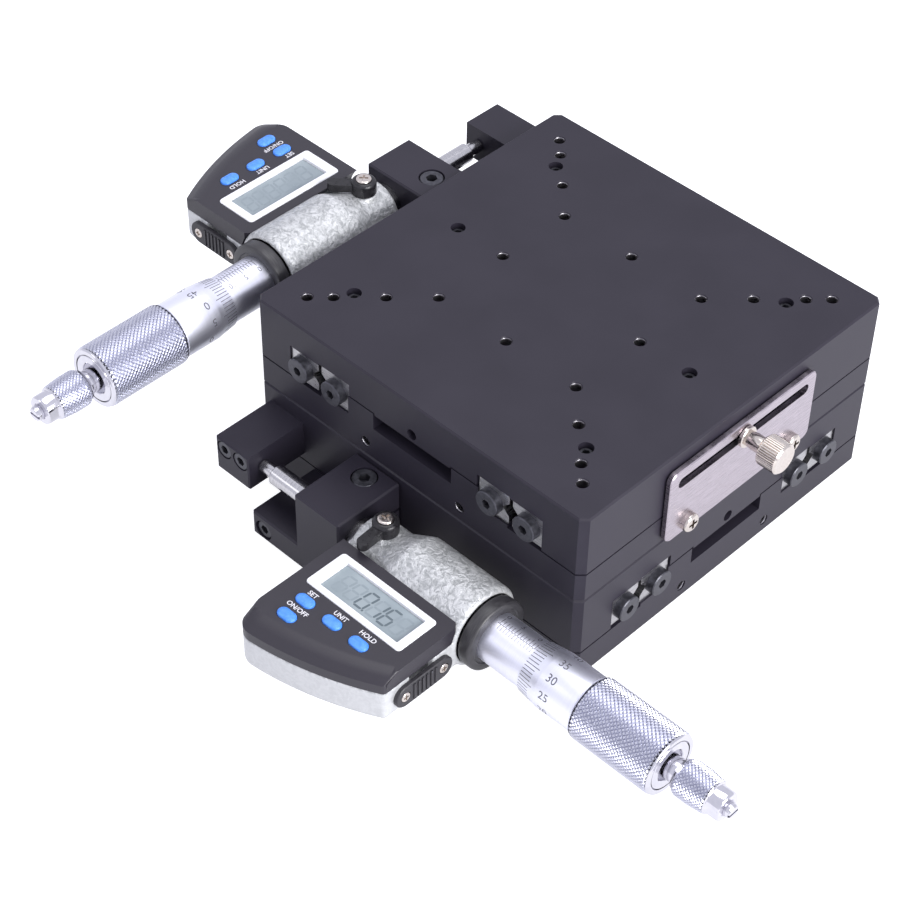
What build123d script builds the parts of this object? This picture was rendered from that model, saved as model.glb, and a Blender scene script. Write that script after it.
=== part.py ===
from build123d import *
import math
import os

# Two identical translation stages, the upper one turned by a quarter turn.
# Every piece is modelled in its own stage's frame: X is the travel, Y runs across it,
# Z is up, and the origin is the centre of the stage's underside. Sizes are in millimetres.

# Plates
plate_side = 120.0
stage_height = 29.5
flange_height = 9.5
table_air = 0.5
corner_cut = 2.0
edge_break = 0.5
travel = 25.0

# Crossed-roller guide, one track on each side of the centre line
track_centre = 35.2
rail_air = 1.2
rail_width = 10.6
rail_height = 10.0
rail_recess = 0.5
rail_pad = 0.9
rail_edge_break = 0.4
roller_d = 4.0
roller_length = 3.6
roller_fit = 0.05
roller_pitch = 7.0
roller_count = 13
cage_thickness = 0.8
cage_height = 8.4
cage_end = 5.0
cage_window_air = 0.15
cage_window_height = 5.6

# Core and spring channel of the base, tongue of the table
core_top = 16.6
channel_half = 14.4
channel_floor = 11.1
tongue_bottom = 16.3
tongue_air = 0.5
core_air = 0.5

# Fasteners: thread, head and hexagon socket
m4_thread = 4.0
m4_head_d = 7.0
m4_head_h = 4.0
m4_socket = 3.0
m4_minor = 3.3
m4_mouth = 3.7
m3_thread = 3.0
m3_head_d = 5.5
m3_head_h = 3.0
m3_socket = 2.5
rail_thread = 2.5
rail_head_d = 3.9
rail_head_h = 2.4
rail_socket = 2.0
rail_screw_grip = 6.0
rail_cap_depth = 5.0
rail_screw_pitch = 40.0
rail_screw_from_back = 4.2
stop_head_d = 7.5
stop_head_h = 2.6
stop_screw_grip = 8.0
stop_screw_from_back = 4.8
thread_fit = 0.05
hole_air = 0.2
head_air = 0.15
socket_share = 0.6
head_break = 0.25
screw_seat_air = 0.02
tapped_depth = 7.0
bottom_air = 0.6

# Tapped holes in the top table: spacing of each square, then of the two pairs
table_squares = (50.0, 70.0, 90.0, 100.0)
table_pair = 50.0
end_hole_pair = 35.0
end_hole_z = 4.5
end_hole_depth = 8.0
table_end_hole_z = 18.8

# Bolts through the base flange
mount_along = 105.0
mount_across = 100.0
mount_head_depth = 4.5
mount_bolt_length = 10.0

# Return springs and their posts
post_d = 2.4
post_head_d = 3.2
post_head_h = 0.5
post_depth = 4.0
post_across = 8.0
base_post_x = 45.0
table_post_x = -30.0
spring_d = 4.0
spring_wire = 0.7

# Lock plate and thumb screw
plate_length = 59.0
plate_bottom = 1.0
plate_top = 25.0
plate_thickness = 1.5
plate_corner = 2.5
washer_d = 6.0
washer_t = 0.5
slot_z = 20.5
slot_end_wall = 3.2
slot_width = 3.3
plate_screw_pitch = 42.0
plate_screw_z = 4.2
pan_head_d = 5.6
pan_head_h = 2.1
pan_cross = 3.2
pan_grip = 6.0
thumb_air = 0.1
thumb_collar_d = 6.5
thumb_collar_t = 1.3
thumb_neck_d = 4.5
thumb_neck_end = 7.5
thumb_knob_d = 9.0
thumb_knob_t = 6.5
thumb_knob_break = 0.7
thumb_grip = 6.0

# Spindle axis, measured out from the plate's side and up from the stage's underside
axis_out = 15.0
axis_z = 18.3

# Stop block on the table
block_start = -55.5
block_length = 13.1
block_reach = 20.5
block_bottom = 12.4
block_top = 24.0
block_screw_first = 3.3
block_screw_pitch = 6.5
block_screw_z = 20.8
block_head_depth = 3.2
block_break = 0.4

# Micrometer bracket on the base
holder_start = -21.1
holder_end = -4.2
holder_air = 0.5
bracket_reach = 23.0
foot_start = -38.8
foot_bottom = 0.5
foot_top = 8.7
holder_top = 27.6
foot_screw_end = 4.3
foot_screw_z = 4.0
foot_head_depth = 3.5
clamp_out = 5.2
clamp_head_depth = 4.2
clamp_length = 12.0
clamp_slit = 1.0
bracket_break = 0.5

# Stem, frame casting and sleeve of the micrometer
stem_d = 12.0
stem_end = 16.0
bore_fit = 0.05
seat_fit = 0.03
frame_start = -1.0
frame_end = 42.0
barrel_small_r = 8.7
barrel_large_r = 11.9
ramp_start = 9.0
ramp_end = 16.0
barrel_round = 2.0
barrel_wall = 1.7
pocket_start = 18.0
case_end = 41.3
case_bottom = 10.8
case_top = 21.0
case_near_reach = 62.7
case_mid_s = 16.8
case_mid_reach = 59.9
case_far_reach = 50.3
case_corner = 5.0
case_far_corner = 1.5
case_bottom_round = 1.5
case_floor = 1.5
tray_rim = 8.5
tray_margin = 4.5
tray_inner = 30.0
sleeve_flange_start = 34.0
sleeve_d = 14.0
sleeve_end = 76.0
nut_start = 60.0
nut_air = 0.3

# Cover, display and keys
cover_inner = 23.8
cover_top = 26.2
cover_skin = 1.5
cover_corner_cut = 1.5
cover_slope_in = 4.2
cover_slope_down = 2.2
cover_rim = 5.4
cover_margin = 1.8
cover_cavity_inner = 25.9
bezel_start = 2.7
bezel_end = 37.0
bezel_inner = 27.2
bezel_outer = 41.2
bezel_top = 26.5
bezel_corner = 1.2
bezel_lip = 0.8
bezel_lip_t = 0.8
window_start = 6.0
window_end = 34.5
window_inner = 29.2
window_outer = 39.3
glass_recess = 1.0
trim_air = 0.1
board_t = 1.6
board_inner = 28.0
board_rim = 6.2
board_margin = 2.4
cell_d = 20.0
cell_t = 3.2
cell_s = 16.0
cell_out = 41.0
key_length = 5.9
key_width = 3.4
key_proud = 0.8
key_travel = 0.5
key_air = 0.15
key_flange = 0.6
key_flange_t = 0.8
key_round = 0.35
key_row_share = 0.298
set_key_share = 0.702
key_strip = case_near_reach - cover_rim - bezel_outer
key_row_out = bezel_outer + key_row_share * key_strip
key_places = {
    "power": (8.1, key_row_out),
    "set": (8.3, bezel_outer + set_key_share * key_strip),
    "unit": (18.2, key_row_out + 0.2),
    "hold": (28.0, key_row_out + 0.4),
}

# Port cover on the end of the case
port_inner = 27.4
port_outer = 47.3
port_height = 7.0
port_z = 16.1
port_t = 1.3
port_rib_count = 6
port_rib_pitch = 1.5
port_rib_w = 0.7
port_rib_h = 0.3
port_screw_inset = 3.2
port_screw_head_d = 3.0
port_screw_head_h = 0.8
port_screw_d = 1.6
port_screw_grip = 2.5
port_hole_along = 8.0
port_hole_height = 3.6

# Spindle, rotor, thimble and ratchet
spindle_d = 6.0
spindle_tip_d = 4.0
spindle_tip_length = 5.0
spindle_end = 98.0
tip_air = 0.05
keyway_start = 4.0
keyway_end = 47.0
keyway_width = 1.5
keyway_depth = 1.0
key_clear = 0.06
rotor_start = 21.0
rotor_end = 30.0
rotor_disc_start = 23.0
rotor_disc_end = 26.0
rotor_hub_d = 10.0
rotor_air = 0.5
collar_d = 20.8
collar_end = 46.0
collar_break = 0.8
thimble_start = 60.0
thimble_bevel_end = 66.0
thimble_lip_d = 14.8
thimble_bevel_d = 16.4
thimble_d = 16.5
thimble_air = 0.15
thimble_web_start = 92.0
knurl_d = 18.0
knurl_start = 78.5
knurl_end = 104.5
knurl_break = 1.0
end_ring_outer_r = 7.2
end_ring_inner_r = 4.6
end_ring_depth = 1.5
ratchet_neck_d = 6.8
ratchet_neck_start = 98.4
ratchet_start = 108.5
ratchet_knob_end = 118.5
ratchet_d = 10.7
ratchet_break = 0.6
ratchet_cap_d = 8.4
ratchet_cap_flats = 7.2
ratchet_cap_end = 122.5
ratchet_screw_d = 4.2
ratchet_screw_end = 124.5
ratchet_slot_w = 0.8
ratchet_slot_depth = 0.9

# Spindle lock lever
lever_s = 5.2
lever_out = 14.6
lever_seat = 27.1
lever_air = 0.05
lever_head_d = 7.3
lever_head_top = 31.4
lever_round = 1.2
lever_boss_r = 4.0
lever_shaft_d = 4.0
lever_shaft_bottom = 24.6
lever_arm_length = 10.5
lever_arm_width = 3.4
lever_arm_bottom = 27.8
lever_arm_top = 30.2
lever_screw_d = 4.5
lever_screw_sink = 0.5
lever_screw_proud = 0.5
lever_cross = 2.6

# The two stages: place of the stage, and its lever's angle from the travel direction
stages = {
    "x": (Location((0, 0, 0)), 86.0),
    "y": (Location((0, 0, stage_height), (0, 0, -90)), 48.0),
}

# Places that follow from the sizes above
half = plate_side / 2
rail_bottom = flange_height + rail_pad
rail_top = rail_bottom + rail_height
rail_half = half - rail_recess
track_z = rail_bottom + rail_height / 2
inner_face = track_centre - rail_air / 2
outer_face = track_centre + rail_air / 2
inner_back = inner_face - rail_width
outer_back = outer_face + rail_width
axis_y = -half - axis_out
spindle_r = spindle_d / 2
bore_r = spindle_r + bore_fit
sleeve_r = sleeve_d / 2
pocket_r = barrel_large_r - barrel_wall
block_end = block_start + block_length
key_seat = cover_top - cover_skin
board_top = case_top + board_t
thumb_face = half + washer_t + plate_thickness
seated = (Align.CENTER, Align.CENTER, Align.MIN)
hanging = (Align.CENTER, Align.CENTER, Align.MAX)


def on_axis(s):
    """Plane across the spindle axis at a distance s along it, facing along it."""
    return Plane(origin=(s, axis_y, axis_z), x_dir=(0, 1, 0), z_dir=(1, 0, 0))


def facing_side(x, z, out=0.0, side=-1):
    """Plane on a long side of the stage, facing away from it."""
    return Plane(origin=(x, side * (half + out), z), x_dir=(-side, 0, 0), z_dir=(0, side, 0))


def facing_end(y, z, place, end):
    """Plane on an end of the stage, facing away from it."""
    return Plane(origin=(end * place, y, z), x_dir=(0, end, 0), z_dir=(end, 0, 0))


def step(start, end, radius, mode=Mode.ADD):
    """One cylindrical step of a piece turned about the spindle axis."""
    with Locations(on_axis(start)):
        Cylinder(radius, end - start, align=seated, mode=mode)


def taper(start, end, start_radius, end_radius, mode=Mode.ADD):
    """One conical step of a piece turned about the spindle axis."""
    with Locations(on_axis(start)):
        Cone(start_radius, end_radius, end - start, align=seated, mode=mode)


def mirrored(points):
    """Close a half profile of (across, height) points over the centre line."""
    return points + [(-across, height) for across, height in reversed(points)]


def is_corner(edge):
    """True for an upright edge at a corner of the square plate."""
    middle = edge.center()
    return abs(middle.X) > half - edge_break and abs(middle.Y) > half - edge_break


def box_between(low, high, mode=Mode.ADD):
    """Block between two opposite corners."""
    with Locations(tuple(low)):
        Box(*[b - a for a, b in zip(low, high)], align=(Align.MIN,) * 3, mode=mode)


def out(s, reach):
    """Point beside the stage: s along the travel, reach out from the plate's side."""
    return (s, -half - reach)


# ----- Fasteners, each with its seat at the origin and its head up -----


def cap_screw(thread, head_d, head_h, socket, grip):
    """Socket screw with a broken head edge."""
    with BuildPart() as screw:
        Cylinder(head_d / 2, head_h, align=seated)
        chamfer(screw.edges().group_by(Axis.Z)[-1], head_break)
        Cylinder(thread / 2, grip, align=hanging)
        with BuildSketch(Plane.XY.offset(head_h)):
            RegularPolygon(socket / 2, 6, major_radius=False)
        extrude(amount=-head_h * socket_share, mode=Mode.SUBTRACT)
    return screw.part


def cross_screw(thread, head_d, head_h, cross, grip):
    """Pan-head screw with a cross recess."""
    recess_width = cross / 4
    with BuildPart() as screw:
        Cylinder(head_d / 2, head_h, align=seated)
        fillet(screw.edges().group_by(Axis.Z)[-1], head_h * 0.45)
        Cylinder(thread / 2, grip, align=hanging)
        with BuildSketch(Plane.XY.offset(head_h)):
            Rectangle(cross, recess_width)
            Rectangle(recess_width, cross)
        extrude(amount=-head_h * socket_share, mode=Mode.SUBTRACT)
    return screw.part


def spring_post():
    """Headed post, standing on the surface that it is driven into."""
    with BuildPart() as post:
        height = tongue_bottom - channel_floor - bottom_air
        Cylinder(post_d / 2, height, align=seated)
        Cylinder(post_d / 2, post_depth, align=hanging)
        with Locations((0, 0, height)):
            Cylinder(post_head_d / 2, post_head_h, align=hanging)
    return post.part


def washer():
    """Plain washer on its seat."""
    with BuildPart() as ring:
        Cylinder(washer_d / 2, washer_t, align=seated)
        Hole(m3_thread / 2 + hole_air)
    return ring.part


rail_screw = cap_screw(
    rail_thread, rail_head_d, rail_head_h, rail_socket, rail_screw_grip + rail_cap_depth
)
stop_screw = cap_screw(m3_thread, stop_head_d, stop_head_h, m3_socket, stop_screw_grip)
post = spring_post()

# ----- Where the fasteners sit -----

inner_screw_y = inner_back + rail_screw_from_back
outer_screw_y = outer_back - rail_screw_from_back
inner_stop_y = inner_back + stop_screw_from_back
outer_stop_y = outer_back - stop_screw_from_back
rail_screw_x = (-rail_screw_pitch, 0.0, rail_screw_pitch)
base_rail_seat = rail_bottom - rail_cap_depth
table_rail_seat = rail_top + rail_cap_depth
block_screw_x = (
    block_start + block_screw_first,
    block_start + block_screw_first + block_screw_pitch,
)
foot_screw_x = (foot_start + foot_screw_end, holder_end - foot_screw_end)
clamp_x = (holder_start + holder_end) / 2
plate_screw_x = (-plate_screw_pitch / 2, plate_screw_pitch / 2)
slot_length = plate_length - 2 * slot_end_wall


def stop_planes(across):
    """Seats of the end-stop screws on the ends of two rails."""
    return [
        facing_end(side * across, track_z, rail_half, end) for side in (-1, 1) for end in (-1, 1)
    ]


# ----- Stage pieces -----


def make_base_plate():
    """Base: flange, rail pads, core and spring channel in one milled plate."""
    profile = [
        (channel_half, channel_floor),
        (channel_half, core_top),
        (inner_back, core_top),
        (inner_back, rail_bottom),
        (inner_face, rail_bottom),
        (inner_face, flange_height),
        (half, flange_height),
        (half, 0.0),
    ]
    with BuildPart() as base:
        with BuildSketch(Plane.YZ):
            with BuildLine():
                Polyline(*mirrored(profile), close=True)
            make_face()
        extrude(amount=half, both=True)
        chamfer(base.edges().filter_by(Axis.Z).filter_by(is_corner), corner_cut)
        chamfer(base.faces().sort_by(Axis.Z)[0].edges(), edge_break)
        # Bolt holes, reached from above when the table is at either end of its travel
        with Locations((0, 0, flange_height)):
            with GridLocations(mount_along, mount_across, 2, 2):
                CounterBoreHole(
                    m4_thread / 2 + hole_air + thread_fit,
                    m4_head_d / 2 + head_air + hole_air,
                    mount_head_depth,
                )
        # Rail screws come up from the underside
        with Locations(Plane.XY.rotated((180, 0, 0))):
            with Locations([(x, side * inner_screw_y) for x in rail_screw_x for side in (-1, 1)]):
                CounterBoreHole(
                    rail_thread / 2 + hole_air, rail_head_d / 2 + head_air, base_rail_seat, rail_bottom
                )
        # Spring posts
        with Locations((base_post_x, post_across, channel_floor), (base_post_x, -post_across, channel_floor)):
            Hole(post_d / 2 + thread_fit, depth=post_depth + bottom_air)
        # Lock plate screws on one side, bracket screws on the other
        for x in plate_screw_x:
            with Locations(facing_side(x, plate_screw_z, side=1)):
                Hole(m3_thread / 2 + thread_fit, depth=pan_grip + bottom_air)
        for x in foot_screw_x:
            with Locations(facing_side(x, foot_screw_z)):
                Hole(m3_thread / 2 + thread_fit, depth=stop_screw_grip + bottom_air)
        # Tapped holes in both ends of the flange
        for end in (-1, 1):
            for side in (-1, 1):
                with Locations(facing_end(side * end_hole_pair / 2, end_hole_z, half, end)):
                    Hole(m4_minor / 2, depth=end_hole_depth)
    return base.part


def make_table(is_top):
    """Table: legs over the flange, seats for its rails, tongue into the base's channel."""
    profile = [
        (channel_half - tongue_air, tongue_bottom),
        (channel_half - tongue_air, core_top + core_air),
        (inner_back - core_air, core_top + core_air),
        (inner_back - core_air, rail_top + core_air),
        (track_centre, rail_top + core_air),
        (track_centre, rail_top),
        (outer_back, rail_top),
        (outer_back, flange_height + table_air),
        (half, flange_height + table_air),
        (half, stage_height),
    ]
    with BuildPart() as table:
        with BuildSketch(Plane.YZ):
            with BuildLine():
                Polyline(*mirrored(profile), close=True)
            make_face()
        extrude(amount=half, both=True)
        chamfer(table.edges().filter_by(Axis.Z).filter_by(is_corner), corner_cut)
        chamfer(table.faces().sort_by(Axis.Z)[-1].edges(), edge_break)
        # Rail screws go down from the top face
        with Locations((0, 0, stage_height)):
            with Locations([(x, side * outer_screw_y) for x in rail_screw_x for side in (-1, 1)]):
                CounterBoreHole(
                    rail_thread / 2 + hole_air,
                    rail_head_d / 2 + head_air,
                    stage_height - table_rail_seat,
                    stage_height - rail_top,
                )
        # Spring posts hang from the tongue
        with Locations(Plane((0, 0, tongue_bottom), x_dir=(1, 0, 0), z_dir=(0, 0, -1))):
            with Locations((table_post_x, post_across), (table_post_x, -post_across)):
                Hole(post_d / 2 + thread_fit, depth=post_depth + bottom_air)
        # Stop-block screws on one side, thumb screw on the other
        for x in block_screw_x:
            with Locations(facing_side(x, block_screw_z)):
                Hole(m3_thread / 2 + thread_fit, depth=stop_screw_grip + bottom_air)
        with Locations(facing_side(0, slot_z, side=1)):
            Hole(m3_thread / 2 + thread_fit, depth=thumb_grip + bottom_air)
        for end in (-1, 1):
            with Locations(facing_end(0, table_end_hole_z, half, end)):
                Hole(m4_minor / 2, depth=end_hole_depth)
        if is_top:
            # Tapped hole pattern for the user's parts
            with Locations((0, 0, stage_height)):
                for square in table_squares:
                    with GridLocations(square, square, 2, 2):
                        CounterSinkHole(m4_minor / 2, m4_mouth / 2, tapped_depth)
                with Locations((table_pair / 2, 0), (-table_pair / 2, 0)):
                    CounterSinkHole(m4_minor / 2, m4_mouth / 2, tapped_depth)
                with Locations((0, table_pair / 2), (0, -table_pair / 2)):
                    CounterSinkHole(m4_minor / 2, m4_mouth / 2, tapped_depth)
        else:
            # Tapped holes for the bolts of the stage above, which is turned by a quarter turn
            with Locations((0, 0, stage_height)):
                with GridLocations(mount_across, mount_along, 2, 2):
                    Hole(m4_thread / 2 + thread_fit, depth=mount_bolt_length)
    return table.part


def rail_profile(side, face, back):
    """Section of one rail as (across, height) points, with the V groove in its face."""
    toward = 1 if face > back else -1
    groove_half = (roller_d / 2 + roller_fit) * math.sqrt(2) - rail_air / 2
    groove_bottom = track_centre - toward * (groove_half + rail_air / 2)
    points = [
        (back, rail_bottom),
        (face - toward * rail_edge_break, rail_bottom),
        (face, rail_bottom + rail_edge_break),
        (face, track_z - groove_half),
        (groove_bottom, track_z),
        (face, track_z + groove_half),
        (face, rail_top - rail_edge_break),
        (face - toward * rail_edge_break, rail_top),
        (back, rail_top),
    ]
    return [(side * across, height) for across, height in points]


def make_rails(face, back, screw_y, stop_y, screws_from_below):
    """Two V-groove rails of one plate, with their tapped holes."""
    with BuildPart() as rails:
        for side in (-1, 1):
            with BuildSketch(Plane.YZ):
                with BuildLine():
                    Polyline(*rail_profile(side, face, back), close=True)
                make_face()
            extrude(amount=rail_half, both=True)
        for plane in stop_planes(stop_y):
            with Locations(plane):
                Hole(m3_thread / 2 + thread_fit, depth=stop_screw_grip + bottom_air)
        z, direction = (rail_bottom, -1) if screws_from_below else (rail_top, 1)
        for x in rail_screw_x:
            for side in (-1, 1):
                with Locations(Plane((x, side * screw_y, z), z_dir=(0, 0, direction))):
                    Hole(rail_thread / 2 + thread_fit, depth=rail_screw_grip + bottom_air)
    return rails.part


def make_roller_cages():
    """Two cage strips and their rollers, each roller crossed to its neighbours."""
    first = -(roller_count - 1) / 2 * roller_pitch
    places = [first + i * roller_pitch for i in range(roller_count)]
    cage_length = (roller_count - 1) * roller_pitch + 2 * cage_end
    with BuildPart() as cages:
        for side in (-1, 1):
            with Locations((0, side * track_centre, track_z)):
                Box(cage_length, cage_thickness, cage_height)
            for x in places:
                with Locations((x, side * track_centre, track_z)):
                    Box(
                        roller_d + 2 * cage_window_air,
                        rail_air,
                        cage_window_height,
                        mode=Mode.SUBTRACT,
                    )
        for side in (-1, 1):
            for index, x in enumerate(places):
                lean = 1 if index % 2 else -1
                with Locations(Plane((x, side * track_centre, track_z), x_dir=(1, 0, 0), z_dir=(0, lean, 1))):
                    Cylinder(roller_d / 2, roller_length)
    return cages.part


def make_base_screws(is_top):
    """All that is screwed or driven into the base; the upper base adds its four bolts."""
    foot_screw = cap_screw(
        m3_thread, m3_head_d, m3_head_h, m3_socket, bracket_reach - foot_head_depth + stop_screw_grip
    )
    clamp_screw = cap_screw(m4_thread, m4_head_d, m4_head_h, m4_socket, clamp_length)
    bolt = cap_screw(m4_thread, m4_head_d, m4_head_h, m4_socket, mount_bolt_length)
    with BuildPart() as screws:
        for x in rail_screw_x:
            for side in (-1, 1):
                with Locations(Plane((x, side * inner_screw_y, base_rail_seat), z_dir=(0, 0, -1))):
                    add(rail_screw)
        with Locations(*stop_planes(inner_stop_y)):
            add(stop_screw)
        with Locations((base_post_x, post_across, channel_floor), (base_post_x, -post_across, channel_floor)):
            add(post)
        with Locations(*[facing_side(x, foot_screw_z, bracket_reach - foot_head_depth) for x in foot_screw_x]):
            add(foot_screw)
        with Locations((clamp_x, -half - clamp_out, holder_top - clamp_head_depth)):
            add(clamp_screw)
        if is_top:
            with Locations((0, 0, flange_height - mount_head_depth)):
                with GridLocations(mount_along, mount_across, 2, 2):
                    add(bolt)
    return screws.part


def make_table_screws():
    """All that is screwed or driven into the table."""
    block_screw = cap_screw(
        m3_thread, m3_head_d, m3_head_h, m3_socket, block_reach - block_head_depth + stop_screw_grip
    )
    with BuildPart() as screws:
        for x in rail_screw_x:
            for side in (-1, 1):
                with Locations((x, side * outer_screw_y, table_rail_seat)):
                    add(rail_screw)
        with Locations(*stop_planes(outer_stop_y)):
            add(stop_screw)
        with Locations(Plane((0, 0, tongue_bottom), x_dir=(1, 0, 0), z_dir=(0, 0, -1))):
            with Locations((table_post_x, post_across), (table_post_x, -post_across)):
                add(post)
        with Locations(
            *[facing_side(x, block_screw_z, block_reach - block_head_depth) for x in block_screw_x]
        ):
            add(block_screw)
    return screws.part


def make_return_springs():
    """Two extension springs, their closed coils drawn as tubes, with a loop at each end."""
    spring_z = (channel_floor + tongue_bottom) / 2
    loop_r = post_d / 2 + spring_wire / 2 + trim_air
    link = 2 * spring_wire
    coil_start = table_post_x + loop_r + link
    coil_end = base_post_x - loop_r - link
    with BuildPart() as springs:
        for side in (-1, 1):
            y = side * post_across
            for x in (table_post_x, base_post_x):
                with Locations((x, y, spring_z)):
                    Torus(loop_r, spring_wire / 2)
            with Locations(Plane((table_post_x + loop_r, y, spring_z), z_dir=(1, 0, 0))):
                Cylinder(spring_wire / 2, link + spring_wire / 2, align=seated)
            with Locations(Plane((base_post_x - loop_r, y, spring_z), z_dir=(-1, 0, 0))):
                Cylinder(spring_wire / 2, link + spring_wire / 2, align=seated)
            with Locations(((coil_start + coil_end) / 2, y, spring_z)):
                with Locations(Rotation(0, 90, 0)):
                    Cylinder(spring_d / 2, coil_end - coil_start)
                    Cylinder(
                        spring_d / 2 - spring_wire,
                        coil_end - coil_start - 2 * spring_wire,
                        mode=Mode.SUBTRACT,
                    )
    return springs.part


def make_lock_plate():
    """Slotted plate screwed to the base's side over two washers."""
    height = plate_top - plate_bottom
    with BuildPart() as plate:
        with BuildSketch(facing_side(0, plate_bottom + height / 2, washer_t, side=1)):
            RectangleRounded(plate_length, height, plate_corner)
            with Locations((0, slot_z - plate_bottom - height / 2)):
                SlotOverall(slot_length, slot_width, mode=Mode.SUBTRACT)
            with Locations(*[(x, plate_screw_z - plate_bottom - height / 2) for x in plate_screw_x]):
                Circle(m3_thread / 2 + hole_air, mode=Mode.SUBTRACT)
        extrude(amount=plate_thickness)
        chamfer(plate.faces().sort_by(Axis.Y)[-1].outer_wire().edges(), head_break)
    return plate.part


def make_lock_plate_screws():
    """Two pan-head screws and the washers that stand the plate off the base."""
    pan_screw = cross_screw(
        m3_thread, pan_head_d, pan_head_h, pan_cross, pan_grip + washer_t + plate_thickness
    )
    ring = washer()
    with BuildPart() as screws:
        with Locations(*[facing_side(x, plate_screw_z, side=1) for x in plate_screw_x]):
            add(ring)
        with Locations(
            *[facing_side(x, plate_screw_z, washer_t + plate_thickness, side=1) for x in plate_screw_x]
        ):
            add(pan_screw)
    return screws.part


def make_thumb_screw():
    """Knurled screw that clamps the slotted plate to the table."""
    collar_face = thumb_face - half + thumb_air
    knob_start = collar_face + thumb_collar_t + thumb_neck_end - thumb_neck_d / 2
    with BuildPart() as screw:
        with Locations(facing_side(0, slot_z, -thumb_grip, side=1)):
            Cylinder(m3_thread / 2, thumb_grip + knob_start, align=seated)
        with Locations(facing_side(0, slot_z, collar_face, side=1)):
            Cylinder(thumb_collar_d / 2, thumb_collar_t, align=seated)
            Cylinder(thumb_neck_d / 2, knob_start - collar_face, align=seated)
        with Locations(facing_side(0, slot_z, knob_start, side=1)):
            Cylinder(thumb_knob_d / 2, thumb_knob_t, align=seated)
        rims = screw.edges().filter_by(GeomType.CIRCLE).filter_by(lambda e: e.radius > thumb_knob_d / 2 - head_break)
        chamfer(rims, thumb_knob_break)
    return screw.part


def make_stop_block():
    """Block on the table's side that the spindle's tip bears on."""
    with BuildPart() as block:
        box_between(
            (block_start, -half - block_reach, block_bottom), (block_end, -half, block_top)
        )
        chamfer(block.faces().sort_by(Axis.Y)[0].edges(), block_break)
        for x in block_screw_x:
            with Locations(facing_side(x, block_screw_z, block_reach)):
                CounterBoreHole(
                    m3_thread / 2 + hole_air, m3_head_d / 2 + head_air, block_head_depth, block_reach
                )
    return block.part


def make_bracket():
    """Split holder for the stem, on a foot that is screwed to the base's side."""
    slit_low = axis_z - clamp_slit / 2
    with BuildPart() as bracket:
        box_between((foot_start, -half - bracket_reach, foot_bottom), (holder_end, -half, foot_top))
        box_between(
            (holder_start, -half - bracket_reach, foot_bottom),
            (holder_end, -half - holder_air, holder_top),
        )
        chamfer(bracket.faces().sort_by(Axis.Y)[0].edges(), bracket_break)
        chamfer(bracket.faces().sort_by(Axis.Z)[-1].edges().filter_by(Axis.Y), bracket_break)
        with Locations(on_axis(holder_start)):
            Cylinder(
                stem_d / 2 + seat_fit, holder_end - holder_start, align=seated, mode=Mode.SUBTRACT
            )
        box_between(
            (holder_start, axis_y, slit_low),
            (holder_end, -half, slit_low + clamp_slit),
            mode=Mode.SUBTRACT,
        )
        with Locations((clamp_x, -half - clamp_out, holder_top)):
            CounterBoreHole(
                m4_thread / 2 + thread_fit,
                m4_head_d / 2 + head_air + head_air,
                clamp_head_depth,
                clamp_head_depth + clamp_length + bottom_air,
            )
        for x in foot_screw_x:
            with Locations(facing_side(x, foot_screw_z, bracket_reach)):
                CounterBoreHole(
                    m3_thread / 2 + hole_air, m3_head_d / 2 + head_air + hole_air, foot_head_depth, bracket_reach
                )
    return bracket.part


# ----- Micrometer pieces -----


def case_sketch(rim, margin, inner, corner=0.0, far_corner=0.0):
    """Plan of the electronics case, drawn in by a rim, an end margin and an inner limit."""
    with BuildSketch() as plan:
        with BuildLine():
            Polyline(
                out(case_end, case_far_reach - rim),
                out(case_end, inner),
                out(frame_start, inner),
                out(frame_start, case_near_reach - rim),
            )
            ThreePointArc(
                out(frame_start, case_near_reach - rim),
                out(case_mid_s, case_mid_reach - rim),
                out(case_end, case_far_reach - rim),
            )
        make_face()
        if margin:
            with Locations(out((frame_start + case_end) / 2, case_near_reach)):
                Rectangle(
                    case_end - frame_start - 2 * margin, plate_side * 2, mode=Mode.INTERSECT
                )
        if corner:
            fillet(plan.vertices().sort_by(Axis.Y)[0], corner)
            far_vertex = plan.vertices().group_by(Axis.X)[-1].sort_by(Axis.Y)[0]
            fillet(far_vertex, far_corner)
    return plan.sketch


def make_stem():
    """Plain stem, bored to guide the spindle."""
    with BuildPart() as stem:
        step(holder_start, stem_end, stem_d / 2)
        step(holder_start, stem_end, bore_r, Mode.SUBTRACT)
        chamfer(stem.faces().sort_by(Axis.X)[0].outer_wire().edges(), head_break)
    return stem.part


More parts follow.
